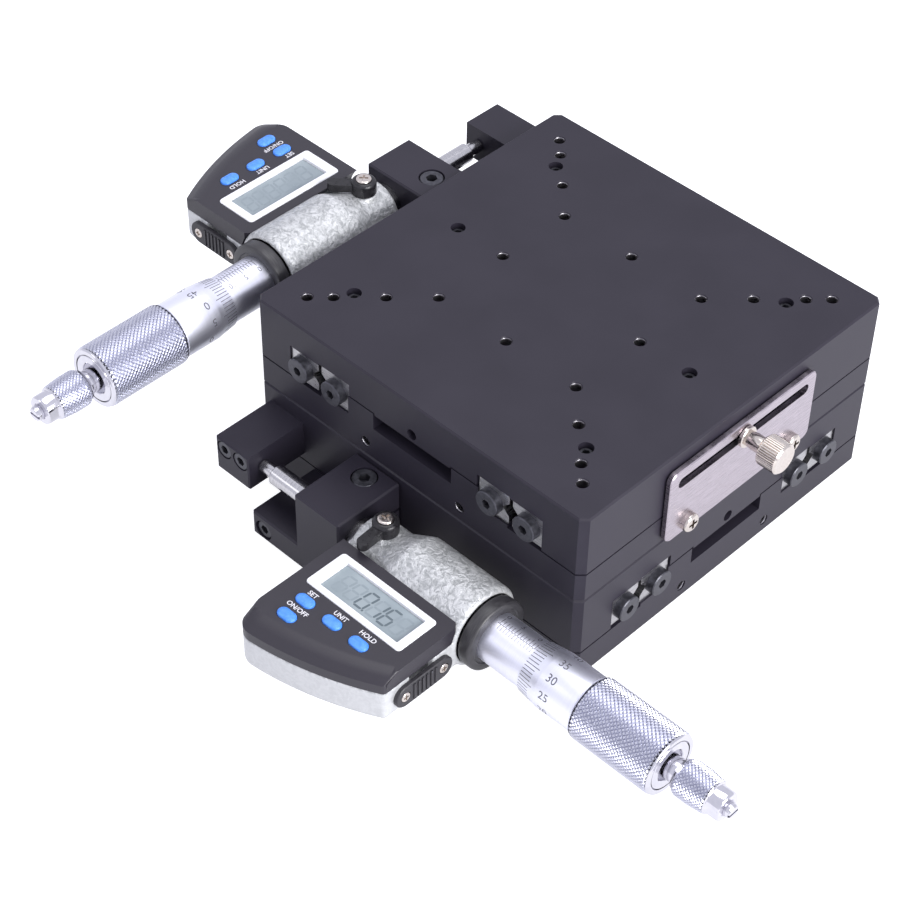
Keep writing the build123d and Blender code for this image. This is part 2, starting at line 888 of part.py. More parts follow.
def make_frame():
    """Casting: barrel, ramp, lever boss and the tray for the electronics."""
    plan = case_sketch(0, 0, axis_out, case_corner, case_far_corner)
    tray = case_sketch(tray_rim, tray_margin, tray_inner)
    with BuildPart() as block:
        with BuildSketch(Plane.XY.offset(case_bottom)):
            add(plan)
        extrude(amount=case_top - case_bottom)
        fillet(block.faces().sort_by(Axis.Z)[0].edges().sort_by(Axis.Y)[:-1], case_bottom_round)
    with BuildPart() as frame:
        step(frame_start, ramp_start, barrel_small_r)
        taper(ramp_start, ramp_end, barrel_small_r, barrel_large_r)
        step(ramp_end, frame_end, barrel_large_r)
        fillet(frame.edges().filter_by(GeomType.CIRCLE).sort_by(Axis.X)[-1], barrel_round)
        add(block.part)
        with Locations((lever_s, -half - lever_out, axis_z)):
            Cylinder(lever_boss_r, lever_seat - axis_z, align=seated)
        step(frame_start, pocket_start, stem_d / 2 + seat_fit, Mode.SUBTRACT)
        step(pocket_start, frame_end, pocket_r, Mode.SUBTRACT)
        with Locations((lever_s, -half - lever_out, lever_seat)):
            Hole(lever_shaft_d / 2 + bore_fit, depth=lever_seat - axis_z)
        with BuildSketch(Plane.XY.offset(case_top)):
            add(tray)
        extrude(amount=case_bottom + case_floor - case_top, mode=Mode.SUBTRACT)
        with Locations(Plane((case_end, -half - (port_inner + port_outer) / 2, port_z), z_dir=(1, 0, 0))):
            Box(tray_margin * 3, port_hole_along, port_hole_height, mode=Mode.SUBTRACT)
            for place in (-1, 1):
                across = place * ((port_outer - port_inner) / 2 - port_screw_inset)
                with Locations((0, across, 0)):
                    Hole(port_screw_d / 2 + thread_fit, depth=port_screw_grip + bottom_air)
    return frame.part


def make_cover():
    """Cover over the tray: sloped outer edge, display opening and four key holes."""
    plan = case_sketch(0, 0, cover_inner, case_corner, case_far_corner)
    top_plan = case_sketch(cover_slope_in, 0, cover_inner, case_corner, case_far_corner)
    cavity = case_sketch(cover_rim, cover_margin, cover_cavity_inner)
    with BuildPart() as cover:
        with BuildSketch(Plane.XY.offset(case_top)):
            add(plan)
        extrude(amount=cover_top - cover_slope_down - case_top)
        with BuildSketch(Plane.XY.offset(cover_top - cover_slope_down)):
            add(plan)
        with BuildSketch(Plane.XY.offset(cover_top)):
            add(top_plan)
        loft(ruled=True)
        corner_edges = cover.edges().filter_by(Axis.Z).group_by(Axis.X)[-1].group_by(Axis.Y)[-1]
        chamfer(corner_edges, cover_corner_cut)
        with BuildSketch(Plane.XY.offset(case_top)):
            add(cavity)
        extrude(amount=key_seat - case_top, mode=Mode.SUBTRACT)
        step(frame_start - 1, frame_end + 1, barrel_large_r + seat_fit, Mode.SUBTRACT)
        with BuildSketch(Plane.XY.offset(case_top)):
            with Locations(out((bezel_start + bezel_end) / 2, (bezel_inner + bezel_outer) / 2)):
                RectangleRounded(
                    bezel_end - bezel_start + 2 * trim_air,
                    bezel_outer - bezel_inner + 2 * trim_air,
                    bezel_corner + trim_air,
                )
        extrude(amount=bezel_top - case_top, mode=Mode.SUBTRACT)
        for place in key_places.values():
            with BuildSketch(Plane.XY.offset(case_top)):
                with Locations(out(*place)):
                    SlotOverall(key_length + 2 * key_air, key_width + 2 * key_air)
            extrude(amount=bezel_top - case_top, mode=Mode.SUBTRACT)
    return cover.part


def make_bezel():
    """Display frame with a lip that catches under the cover."""
    centre = ((bezel_start + bezel_end) / 2, -half - (bezel_inner + bezel_outer) / 2)
    size = (bezel_end - bezel_start, bezel_outer - bezel_inner)
    window_centre = ((window_start + window_end) / 2, -half - (window_inner + window_outer) / 2)
    window = (window_end - window_start, window_outer - window_inner)
    lip_bottom = key_seat - bezel_lip_t
    with BuildPart() as bezel:
        with BuildSketch(Plane.XY.offset(lip_bottom)):
            with Locations(centre):
                RectangleRounded(size[0], size[1], bezel_corner)
        extrude(amount=bezel_top - lip_bottom)
        chamfer(bezel.faces().sort_by(Axis.Z)[-1].edges(), head_break)
        with BuildSketch(Plane.XY.offset(lip_bottom)):
            with Locations(centre):
                Rectangle(size[0] + 2 * bezel_lip, size[1] + bezel_lip)
        extrude(amount=bezel_lip_t - trim_air)
        with BuildSketch(Plane.XY.offset(lip_bottom)):
            with Locations(window_centre):
                Rectangle(*window)
        extrude(amount=bezel_top - lip_bottom, mode=Mode.SUBTRACT)
        step(window_start, window_end, barrel_large_r + trim_air, Mode.SUBTRACT)
    return bezel.part


def make_display():
    """Display glass on the circuit board, and the coin cell in the tray."""
    board = case_sketch(board_rim, board_margin, board_inner)
    with BuildPart() as display:
        with BuildSketch(Plane.XY.offset(case_top)):
            add(board)
        extrude(amount=board_t)
        with Locations(out(cell_s, cell_out) + (case_bottom + case_floor,)):
            Cylinder(cell_d / 2, cell_t, align=seated)
        box_between(
            (window_start + trim_air, -half - window_outer + trim_air, board_top + trim_air),
            (window_end - trim_air, -half - window_inner - trim_air, bezel_top - glass_recess),
        )
    return display.part


def make_key(place):
    """Obround key with a flange under the cover."""
    bottom = board_top + key_travel + trim_air
    with BuildPart() as key:
        with BuildSketch(Plane.XY.offset(bottom)):
            with Locations(out(*place)):
                SlotOverall(key_length, key_width)
        extrude(amount=cover_top + key_proud - bottom)
        fillet(key.faces().sort_by(Axis.Z)[-1].edges(), key_round)
        with BuildSketch(Plane.XY.offset(bottom)):
            with Locations(out(*place)):
                SlotOverall(key_length + 2 * key_flange, key_width + 2 * key_flange)
        extrude(amount=key_flange_t)
    return key.part


def make_port_cover():
    """Ribbed cover over the data port, with its two screws."""
    centre_out = (port_inner + port_outer) / 2
    length = port_outer - port_inner
    seat = Plane((case_end, -half - centre_out, port_z), x_dir=(0, 1, 0), z_dir=(1, 0, 0))
    screw_along = length / 2 - port_screw_inset
    small_screw = cross_screw(
        port_screw_d, port_screw_head_d, port_screw_head_h, port_screw_head_d * 0.6,
        port_screw_grip + port_t / 2,
    )
    with BuildPart() as cover:
        with BuildSketch(seat):
            SlotOverall(length, port_height)
        extrude(amount=port_t)
        chamfer(cover.faces().sort_by(Axis.X)[-1].edges(), head_break)
        with Locations(seat):
            for rib in range(port_rib_count):
                along = (rib - (port_rib_count - 1) / 2) * port_rib_pitch
                with Locations((along, 0, port_t)):
                    Box(port_rib_w, port_height * 0.8, port_rib_h, align=seated)
            for place in (-screw_along, screw_along):
                with Locations((place, 0, port_t)):
                    CounterBoreHole(
                        port_screw_d / 2 + hole_air, port_screw_head_d / 2 + trim_air, port_t / 2, port_t
                    )
        with Locations(seat):
            seat_height = port_t / 2 + screw_seat_air
            with Locations((-screw_along, 0, seat_height), (screw_along, 0, seat_height)):
                add(small_screw)
    return cover.part


def make_rotor():
    """Encoder rotor: disc on a hub, with a key that runs in the spindle's keyway."""
    key_bottom = spindle_r - keyway_depth + key_clear
    key_width = keyway_width - 2 * key_clear
    with BuildPart() as rotor:
        step(rotor_start, rotor_end, rotor_hub_d / 2)
        step(rotor_disc_start, rotor_disc_end, pocket_r - rotor_air)
        step(rotor_start, rotor_end, bore_r, Mode.SUBTRACT)
        box_between(
            (rotor_start, axis_y - key_width / 2, axis_z + key_bottom),
            (rotor_end, axis_y + key_width / 2, axis_z + spindle_r + keyway_depth),
        )
    return rotor.part


def make_sleeve():
    """Graduated sleeve: flange in the casting, tube under the thimble, nut at its end."""
    with BuildPart() as sleeve:
        step(sleeve_flange_start, frame_end, pocket_r - seat_fit)
        step(sleeve_flange_start, sleeve_end, sleeve_r)
        step(sleeve_flange_start, nut_start, spindle_r + nut_air, Mode.SUBTRACT)
        step(nut_start, sleeve_end, bore_r, Mode.SUBTRACT)
    return sleeve.part


def make_collar():
    """Black clamping ring between the casting and the sleeve."""
    with BuildPart() as collar:
        step(frame_end, collar_end, collar_d / 2)
        chamfer(collar.faces().sort_by(Axis.X)[-1].edges(), collar_break)
        step(frame_end, collar_end, sleeve_r + seat_fit, Mode.SUBTRACT)
    return collar.part


def make_spindle():
    """Spindle with a reduced tip and a keyway; its thread is drawn plain."""
    tip = block_end + tip_air
    with BuildPart() as spindle:
        step(tip, spindle_end, spindle_tip_d / 2)
        step(tip + spindle_tip_length, spindle_end, spindle_r)
        box_between(
            (keyway_start, axis_y - keyway_width / 2, axis_z + spindle_r - keyway_depth),
            (keyway_end, axis_y + keyway_width / 2, axis_z + spindle_r + keyway_depth),
            mode=Mode.SUBTRACT,
        )
        rims = spindle.edges().filter_by(GeomType.CIRCLE).sort_by(Axis.X)
        chamfer(rims[0], head_break)
    return spindle.part


def make_thimble():
    """Thimble: bevelled edge, plain barrel, knurled grip and ringed end face."""
    with BuildPart() as thimble:
        taper(thimble_start, thimble_bevel_end, thimble_lip_d / 2, thimble_bevel_d / 2)
        step(thimble_bevel_end, knurl_start, thimble_d / 2)
        with Locations(on_axis(knurl_start)):
            Cylinder(knurl_d / 2, knurl_end - knurl_start, align=seated)
        rims = thimble.edges().filter_by(GeomType.CIRCLE).filter_by(
            lambda e: e.radius > knurl_d / 2 - trim_air
        )
        chamfer(rims, knurl_break / 2)
        step(knurl_end - end_ring_depth, knurl_end, end_ring_outer_r, Mode.SUBTRACT)
        step(knurl_end - end_ring_depth, knurl_end, end_ring_inner_r)
        step(thimble_start, thimble_web_start, sleeve_r + thimble_air, Mode.SUBTRACT)
        step(thimble_web_start, spindle_end, spindle_r + seat_fit, Mode.SUBTRACT)
        step(spindle_end, knurl_end, ratchet_neck_d / 2 + bore_fit, Mode.SUBTRACT)
    return thimble.part


def make_ratchet():
    """Ratchet stop: neck in the thimble, knurled knob, flatted cap and slotted screw."""
    with BuildPart() as ratchet:
        step(ratchet_neck_start, ratchet_start, ratchet_neck_d / 2)
        with Locations(on_axis(ratchet_start)):
            Cylinder(ratchet_d / 2, ratchet_knob_end - ratchet_start, align=seated)
        rims = ratchet.edges().filter_by(GeomType.CIRCLE).filter_by(
            lambda e: e.radius > ratchet_d / 2 - trim_air
        )
        chamfer(rims, ratchet_break)
        with BuildSketch(on_axis(ratchet_knob_end)):
            Circle(ratchet_cap_d / 2)
            Rectangle(ratchet_cap_d, ratchet_cap_flats, mode=Mode.INTERSECT)
        extrude(amount=ratchet_cap_end - ratchet_knob_end)
        step(ratchet_cap_end, ratchet_screw_end, ratchet_screw_d / 2)
        with Locations(on_axis(ratchet_screw_end)):
            Box(
                ratchet_screw_d, ratchet_slot_w, ratchet_slot_depth, align=hanging, mode=Mode.SUBTRACT
            )
    return ratchet.part


def make_lock_lever(angle):
    """Lever head, arm and shaft, with a cross-recess screw; angle is from the travel."""
    heading = (math.cos(math.radians(angle)), -math.sin(math.radians(angle)), 0)
    centre = out(lever_s, lever_out)
    head_bottom = lever_seat + lever_air
    screw_bottom = lever_head_top - lever_screw_sink + screw_seat_air
    small_screw = cross_screw(
        m3_thread, lever_screw_d, lever_screw_sink + lever_screw_proud, lever_cross, lever_screw_sink
    )
    with BuildPart() as lever:
        with Locations((*centre, head_bottom)):
            Cylinder(lever_head_d / 2, lever_head_top - head_bottom, align=seated)
            Cylinder(lever_shaft_d / 2, head_bottom - lever_shaft_bottom, align=hanging)
        fillet(lever.faces().sort_by(Axis.Z)[-1].edges(), lever_round)
        with BuildSketch(Plane((*centre, lever_arm_bottom), x_dir=heading, z_dir=(0, 0, 1))):
            with Locations(((lever_arm_length - lever_arm_width / 2) / 2, 0)):
                SlotCenterToCenter(lever_arm_length - lever_arm_width / 2, lever_arm_width)
        extrude(amount=lever_arm_top - lever_arm_bottom)
        with Locations((*centre, lever_head_top)):
            CounterBoreHole(
                m3_thread / 2 + thread_fit,
                lever_screw_d / 2 + trim_air,
                lever_screw_sink,
                lever_screw_sink * 2 + trim_air,
            )
        with Locations(Plane((*centre, screw_bottom), x_dir=heading, z_dir=(0, 0, 1))):
            add(small_screw)
    return lever.part


# ----- Write every piece of both stages, in its place -----

os.makedirs("parts", exist_ok=True)
for axis, (place, lever_angle) in stages.items():
    is_upper = axis == "y"
    pieces = {
        "base_plate": make_base_plate(),
        "table": make_table(is_upper),
        "base_rails": make_rails(inner_face, inner_back, inner_screw_y, inner_stop_y, True),
        "table_rails": make_rails(outer_face, outer_back, outer_screw_y, outer_stop_y, False),
        "roller_cages": make_roller_cages(),
        "base_screws": make_base_screws(is_upper),
        "table_screws": make_table_screws(),
        "return_springs": make_return_springs(),
        "lock_plate": make_lock_plate(),
        "lock_plate_screws": make_lock_plate_screws(),
        "thumb_screw": make_thumb_screw(),
        "stop_block": make_stop_block(),
        "bracket": make_bracket(),
        "mic_stem": make_stem(),
        "mic_frame": make_frame(),
        "mic_cover": make_cover(),
        "mic_bezel": make_bezel(),
        "mic_display": make_display(),
        "mic_port_cover": make_port_cover(),
        "mic_rotor": make_rotor(),
        "mic_sleeve": make_sleeve(),
        "mic_collar": make_collar(),
        "mic_spindle": make_spindle(),
        "mic_thimble": make_thimble(),
        "mic_ratchet": make_ratchet(),
        "mic_lock_lever": make_lock_lever(lever_angle),
    }
    for key_name, key_place in key_places.items():
        pieces[f"mic_{key_name}_button"] = make_key(key_place)
    for name, piece in pieces.items():
        placed = piece.moved(place)
        placed.label = f"{axis}_{name}"
        export_step(placed, f"parts/{placed.label}.step")
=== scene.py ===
import math

import bmesh
import bpy
from mathutils import Matrix, Vector


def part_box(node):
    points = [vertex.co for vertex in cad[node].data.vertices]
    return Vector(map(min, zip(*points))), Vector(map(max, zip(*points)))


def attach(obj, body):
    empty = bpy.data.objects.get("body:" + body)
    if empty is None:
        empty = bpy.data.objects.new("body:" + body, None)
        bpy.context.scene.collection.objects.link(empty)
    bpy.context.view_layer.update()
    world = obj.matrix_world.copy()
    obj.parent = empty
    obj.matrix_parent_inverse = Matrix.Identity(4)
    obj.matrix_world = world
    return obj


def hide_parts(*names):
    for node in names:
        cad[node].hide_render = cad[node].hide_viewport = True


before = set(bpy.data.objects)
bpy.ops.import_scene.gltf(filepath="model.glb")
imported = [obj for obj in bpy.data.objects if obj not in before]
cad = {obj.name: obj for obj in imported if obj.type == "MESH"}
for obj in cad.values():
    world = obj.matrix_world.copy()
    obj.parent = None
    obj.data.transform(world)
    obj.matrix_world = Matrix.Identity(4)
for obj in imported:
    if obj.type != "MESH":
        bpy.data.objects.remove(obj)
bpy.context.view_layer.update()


# Base plates, tables, brackets and stop blocks: milled aluminium, bead blasted and anodised black.
# Each is one block; the tables slide over the bases, and brackets and blocks are screwed to their sides.
def colour(code):
    """An sRGB hex code as linear RGBA."""
    shares = [int(code[i : i + 2], 16) / 255 for i in (0, 2, 4)]
    linear = [c / 12.92 if c <= 0.04045 else ((c + 0.055) / 1.055) ** 2.4 for c in shares]
    return (*linear, 1.0)


def add(tree, kind, inputs=None, **settings):
    """One shader node. An input takes a value or another node's output."""
    made = tree.nodes.new("ShaderNode" + kind)
    for key, value in settings.items():
        setattr(made, key, value)
    for key, value in (inputs or {}).items():
        if isinstance(value, bpy.types.NodeSocket):
            tree.links.new(value, made.inputs[key])
        else:
            made.inputs[key].default_value = value
    return made


def material(name):
    """A new material with its node tree and its Principled node."""
    made = bpy.data.materials.new(name)
    made.use_nodes = True
    return made, made.node_tree, made.node_tree.nodes["Principled BSDF"]


def millimetres(tree, stretch=(1, 1, 1)):
    """Object coordinates in millimetres."""
    place = add(tree, "TexCoord").outputs["Object"]
    return add(tree, "Mapping", {"Vector": place, "Scale": [1000 * s for s in stretch]}).outputs[0]


def noise(tree, vector, scale, detail=2.0, roughness=0.5):
    """A noise pattern; scale is in features per millimetre."""
    inputs = {"Vector": vector, "Scale": scale, "Detail": detail, "Roughness": roughness}
    return add(tree, "TexNoise", inputs).outputs[0]


def spread(tree, factor, low, high, start=0.35, end=0.65):
    """Maps a pattern to the range from low to high."""
    inputs = {0: factor, 1: start, 2: end, 3: low, 4: high}
    return add(tree, "MapRange", inputs).outputs[0]


def tints(tree, factor, first, second):
    """Mixes two colours by a factor."""
    inputs = {0: factor, 6: colour(first), 7: colour(second)}
    return add(tree, "Mix", inputs, data_type="RGBA").outputs[2]


def relief(tree, bsdf, height, depth, strength=1.0):
    """Bump on a Principled node; depth is in millimetres."""
    inputs = {"Height": height, "Distance": depth / 1000, "Strength": strength}
    tree.links.new(add(tree, "Bump", inputs).outputs[0], bsdf.inputs["Normal"])


def dress(piece, finish):
    """Gives a shown CAD node its material."""
    piece.data.materials.clear()
    piece.data.materials.append(finish)


# Satin black with a faint violet cast: a soft broad highlight over a fine blasted grain.
black_anodised, tree, bsdf = material("black_anodised_aluminium")
place = millimetres(tree)
cloud = noise(tree, place, 0.05, 3)
grain = noise(tree, place, 2.2, 2)
tree.links.new(tints(tree, spread(tree, cloud, 0, 1), "24212b", "28252f"), bsdf.inputs["Base Color"])
tree.links.new(spread(tree, cloud, 0.44, 0.48), bsdf.inputs["Roughness"])
bsdf.inputs["Specular IOR Level"].default_value = 0.3
relief(tree, bsdf, grain, 0.012, 0.5)
for stage in "xy":
    for part in ("base_plate", "table", "bracket", "stop_block"):
        dress(cad[f"{stage}_{part}"], black_anodised)


# Rails and roller cages: hardened steel bars with ground faces, screwed inside the plates in facing pairs.
# The cages run between each pair, and the bright rail ends show behind the end-stop screws.
# Bright steel crossed by faint grinding lines, so that each end face glints unevenly.
ground_steel, tree, bsdf = material("ground_hardened_steel")
lines = noise(tree, millimetres(tree, (0.4, 0.4, 6)), 1.0, 3)
tree.links.new(tints(tree, spread(tree, lines, 0, 1), "a9a8ab", "c6c5c6"), bsdf.inputs["Base Color"])
bsdf.inputs["Metallic"].default_value = 1.0
tree.links.new(spread(tree, lines, 0.26, 0.4), bsdf.inputs["Roughness"])
relief(tree, bsdf, lines, 0.004, 0.6)
for stage in "xy":
    for part in ("base_rails", "table_rails"):
        dress(cad[f"{stage}_{part}"], ground_steel)
    dress(cad[f"{stage}_roller_cages"], ground_steel)


# Cap screws: alloy steel with black oxide, driven by hexagon sockets.
# The large low heads at the rail ends are the stops of the roller cages.
# Oiled dark grey metal with a slightly uneven sheen.
black_oxide, tree, bsdf = material("black_oxide_steel")
wear = noise(tree, millimetres(tree), 0.9, 3)
tree.links.new(tints(tree, spread(tree, wear, 0, 1), "414147", "525259"), bsdf.inputs["Base Color"])
bsdf.inputs["Metallic"].default_value = 0.7
tree.links.new(spread(tree, wear, 0.3, 0.44), bsdf.inputs["Roughness"])
relief(tree, bsdf, wear, 0.006, 0.5)
for stage in "xy":
    for part in ("base_screws", "table_screws"):
        dress(cad[f"{stage}_{part}"], black_oxide)


# Return springs: two drawn-wire coils in the core of each stage, hooked over posts.
# They pull the table against the spindle.
# Bright drawn wire with lengthwise streaks.
spring_wire, tree, bsdf = material("drawn_spring_wire")
streak = noise(tree, millimetres(tree), 3.0, 2)
tree.links.new(tints(tree, streak, "8a898c", "b5b4b6"), bsdf.inputs["Base Color"])
bsdf.inputs["Metallic"].default_value = 1.0
bsdf.inputs["Roughness"].default_value = 0.3
for stage in "xy":
    dress(cad[f"{stage}_return_springs"], spring_wire)


# Thread turns in the tapped holes: cut in bare aluminium after the plates are anodised.
# Each hole gets a short stack of ridges that stand just proud of its wall.
def to_row(stage):
    """The matrix from a stage's own millimetres to the row frame."""
    small = Matrix.Scale(0.001, 4)
    if stage == "x":
        return small
    return Matrix.Translation((0, 0, 0.0295)) @ Matrix.Rotation(math.radians(-90), 4, "Z") @ small


def piece(name, points, faces, finish, slot, body, nodes=(), stage="x", sharp=35, uvs=None):
    """A mesh piece from points in a stage's own millimetres, smooth except over sharp edges."""
    mesh = bpy.data.meshes.new(name)
    mesh.from_pydata([tuple(p) for p in points], [], faces)
    if uvs:
        layer = mesh.uv_layers.new(name="turned")
        for loop in mesh.loops:
            layer.data[loop.index].uv = uvs[loop.vertex_index]
    mesh.transform(to_row(stage))
    made = bpy.data.objects.new(name, mesh)
    bpy.context.scene.collection.objects.link(made)
    edit = bmesh.new()
    edit.from_mesh(mesh)
    edit.normal_update()
    for face in edit.faces:
        face.smooth = True
    for edge in edit.edges:
        if len(edge.link_faces) == 2:
            edge.smooth = edge.calc_face_angle(0) < math.radians(sharp)
    edit.to_mesh(mesh)
    edit.free()
    mesh.materials.append(finish)
    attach(made, body)
    if nodes:
        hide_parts(*nodes)
    return made


def ring_faces(rings, around, first=0):
    """Quads between successive rings of points."""
    faces = []
    for i in range(rings - 1):
        for k in range(around):
            a, b = first + i * around + k, first + i * around + (k + 1) % around
            faces.append((a, b, b + around, a + around))
    return faces


# Bare cut aluminium: bright, and broken up by the ridges themselves.
bare_aluminium, tree, bsdf = material("bare_cut_aluminium")
chips = noise(tree, millimetres(tree), 2.5, 2)
tree.links.new(tints(tree, chips, "8d8a90", "c8c6ca"), bsdf.inputs["Base Color"])
bsdf.inputs["Metallic"].default_value = 1.0
bsdf.inputs["Roughness"].default_value = 0.35


def thread_turns(name, mouths, body, stage):
    """Ridges inside tapped holes; a mouth is a point and the outward direction."""
    points, faces = [], []
    around, turns, pitch, root, crest, first_turn = 20, 5, 0.7, 1.66, 1.45, 0.2
    for mouth, outward in mouths:
        outward = Vector(outward)
        across = outward.orthogonal().normalized()
        other = outward.cross(across)
        first = len(points)
        for i in range(2 * turns + 1):
            r = root if i % 2 == 0 else crest
            for k in range(around):
                angle = 2 * math.pi * k / around
                depth = first_turn + (i + k / around) * pitch / 2
                side = across * math.cos(angle) + other * math.sin(angle)
                points.append(Vector(mouth) - outward * depth + side * r)
        faces += ring_faces(2 * turns + 1, around, first)
    piece(name, points, faces, bare_aluminium, "black_anodised", body, (), stage, 180)


# Where the holes are in a stage: M4 holes on the table's diagonals and axes, and in the base's ends.
table_top, inner, plate_end, end_across, end_height = 29.5, 25, 60, 17.5, 4.5
diagonal = [(a * r, b * r) for r in (inner, 35, 45, 50) for a in (-1, 1) for b in (-1, 1)]
straight = [(inner, 0), (-inner, 0), (0, inner), (0, -inner)]
tops = [((x, y, table_top), (0, 0, 1)) for x, y in diagonal + straight]
thread_turns("y_table_threads", tops, "y_carriage", "y")
ends = [((e * plate_end, s * end_across, end_height), (e, 0, 0)) for e in (-1, 1) for s in (-1, 1)]
for stage, body in (("x", "base"), ("y", "x_carriage")):
    thread_turns(f"{stage}_base_threads", ends, body, stage)


# Lock plates: nickel-plated steel strips with a long slot, each held by two cross-recessed screws.
# The plate is fixed to the base and the thumb screw in the table slides along its slot.
# Warm bright metal, brushed along the strip.
brushed_nickel, tree, bsdf = material("brushed_nickel_plate")
brush = noise(tree, millimetres(tree, (0.25, 0.25, 7)), 1.0, 3)
tree.links.new(tints(tree, spread(tree, brush, 0, 1), "a9a1a8", "beb5bd"), bsdf.inputs["Base Color"])
bsdf.inputs["Metallic"].default_value = 1.0
tree.links.new(spread(tree, brush, 0.22, 0.36), bsdf.inputs["Roughness"])
relief(tree, bsdf, brush, 0.004, 0.6)
# Plain bright nickel for the turned and pressed small parts.
bright_nickel, tree, bsdf = material("bright_nickel_plate")
haze = noise(tree, millimetres(tree), 1.4, 3)
tree.links.new(tints(tree, haze, "c4bbb4", "e2dad2"), bsdf.inputs["Base Color"])
bsdf.inputs["Metallic"].default_value = 1.0
tree.links.new(spread(tree, haze, 0.12, 0.24), bsdf.inputs["Roughness"])
for stage in "xy":
    dress(cad[f"{stage}_lock_plate"], brushed_nickel)
    dress(cad[f"{stage}_lock_plate_screws"], bright_nickel)


# Thumb screws: brass turned and nickel plated, with a straight knurl that the fingers grip.
# Each screws through the slot of its lock plate into the table's side.
def lathe(centre, along, up, profile, around, shape=None):
    """Rings of points about an axis from (distance, radius) pairs, with faces and UVs in millimetres."""
    along, up = Vector(along), Vector(up)
    side = along.cross(up)
    points, uvs = [], []
    run = 0.0
    for i, (distance, radius) in enumerate(profile):
        if i:
            before = profile[i - 1]
            run += math.hypot(distance - before[0], radius - before[1])
        for k in range(around):
            angle = 2 * math.pi * k / around
            r = shape(i, k, radius) if shape else radius
            out = up * math.cos(angle) + side * math.sin(angle)
            points.append(Vector(centre) + along * distance + out * r)
            uvs.append((run, angle * 8))
    faces = [face[::-1] for face in ring_faces(len(profile), around)]
    return points, faces, uvs


knob_height = 20.5
knob_profile = [(62.1, 0.01), (62.1, 3.0), (62.3, 3.2), (63.2, 3.2), (63.4, 3.0), (63.4, 2.25)]
knob_profile += [(64.6, 2.25), (65.0, 2.4), (68.3, 2.4), (68.65, 2.7), (68.65, 3.9), (69.15, 4.45)]
knob_profile += [(69.4, 4.5), (74.4, 4.5), (74.65, 4.45), (75.1, 4.0), (75.15, 3.8), (75.05, 3.3)]
knob_profile += [(74.95, 1.6), (74.95, 0.01)]


def straight_knurl(i, k, radius):
    """Forty ridges, four points to each, on the gripping band only."""
    return radius - (0.32, 0.08, 0.0, 0.08)[k % 4] if i in (12, 13) else radius


for stage in "xy":
    points, faces, uvs = lathe((0, 0, knob_height), (0, 1, 0), (0, 0, 1), knob_profile, 160, straight_knurl)
    node = f"{stage}_thumb_screw"
    piece(f"{stage}_thumb_knob", points, faces, bright_nickel, "nickel_plate", node, [node], stage, 28, uvs)


# Micrometer castings: zinc, with the barrel and the display case in one piece.
# Hammer-finish enamel is sprayed on, and it rounds every corner between barrel and case.
def copied(source, name, keep=None):
    """A welded copy of a CAD node's mesh, with only the islands that keep() picks by their corners."""
    edit = bmesh.new()
    edit.from_mesh(source.data)
    bmesh.ops.remove_doubles(edit, verts=edit.verts, dist=2e-6)
    seen, drop = set(), []
    for start in edit.verts:
        if start in seen:
            continue
        island, edge = {start}, [start]
        while edge:
            for link in edge.pop().link_edges:
                for vert in link.verts:
                    if vert not in island:
                        island.add(vert)
                        edge.append(vert)
        seen |= island
        axes = list(zip(*[v.co for v in island]))
        low, high = [min(a) * 1000 for a in axes], [max(a) * 1000 for a in axes]
        if keep and not keep(low, high):
            drop += island
    bmesh.ops.delete(edit, geom=list(set(drop)), context="VERTS")
    mesh = bpy.data.meshes.new(name)
    edit.to_mesh(mesh)
    edit.free()
    made = bpy.data.objects.new(name, mesh)
    bpy.context.scene.collection.objects.link(made)
    return made


def settle(made, finish, body, nodes, sharp=35):
    """Applies the modifiers and sets the shading, the material and the frame ties."""
    bpy.context.view_layer.update()
    shaped = made.evaluated_get(bpy.context.evaluated_depsgraph_get())
    mesh = bpy.data.meshes.new_from_object(shaped)
    made.modifiers.clear()
    made.data = mesh
    if sharp:
        edit = bmesh.new()
        edit.from_mesh(mesh)
        for face in edit.faces:
            face.smooth = True
        for edge in edit.edges:
            if len(edge.link_faces) == 2:
                edge.smooth = edge.calc_face_angle(0) < math.radians(sharp)
        edit.to_mesh(mesh)
        edit.free()
    mesh.materials.clear()
    mesh.materials.append(finish)
    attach(made, body)
    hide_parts(*nodes)


# Pale silver enamel that glints like crumpled foil on the rounded parts and lies flatter on the sides.
# Its colour carries painted shade: darker in the hollows of the folds on faces that point up, a quarter as
# much on the sides, so the sides stay paler.
hammertone, tree, bsdf = material("silver_hammertone_enamel")
place = millimetres(tree)
warp = add(tree, "TexNoise", {"Vector": place, "Scale": 0.35, "Detail": 2.0}).outputs[1]
sway = add(tree, "VectorMath", {0: warp, 1: (5, 5, 5)}, operation="MULTIPLY").outputs[0]
bent = add(tree, "VectorMath", {0: place, 1: sway}, operation="ADD").outputs[0]
folds = noise(tree, bent, 0.75, 3, 0.6)
facing = add(tree, "SeparateXYZ", {0: add(tree, "TexCoord").outputs["Normal"]}).outputs[2]
upward = spread(tree, facing, 0.25, 1.0, 0.1, 0.4)
# Painted shade: the hollows of the folds darken the colour, fully on upward faces and a quarter as much on
# the sides.
creases = spread(tree, folds, 0, 1, 0.62, 0.38)
painted_crease_shade = add(tree, "Math", {0: creases, 1: upward}, operation="MULTIPLY").outputs[0]
tree.links.new(tints(tree, painted_crease_shade, "c9cacb", "9a9c9d"), bsdf.inputs["Base Color"])
bsdf.inputs["Metallic"].default_value = 0.3
tree.links.new(spread(tree, folds, 0.3, 0.42), bsdf.inputs["Roughness"])
bsdf.inputs["Coat Weight"].default_value = 0.3
bsdf.inputs["Coat Roughness"].default_value = 0.15
relief(tree, bsdf, folds, 0.45, upward)
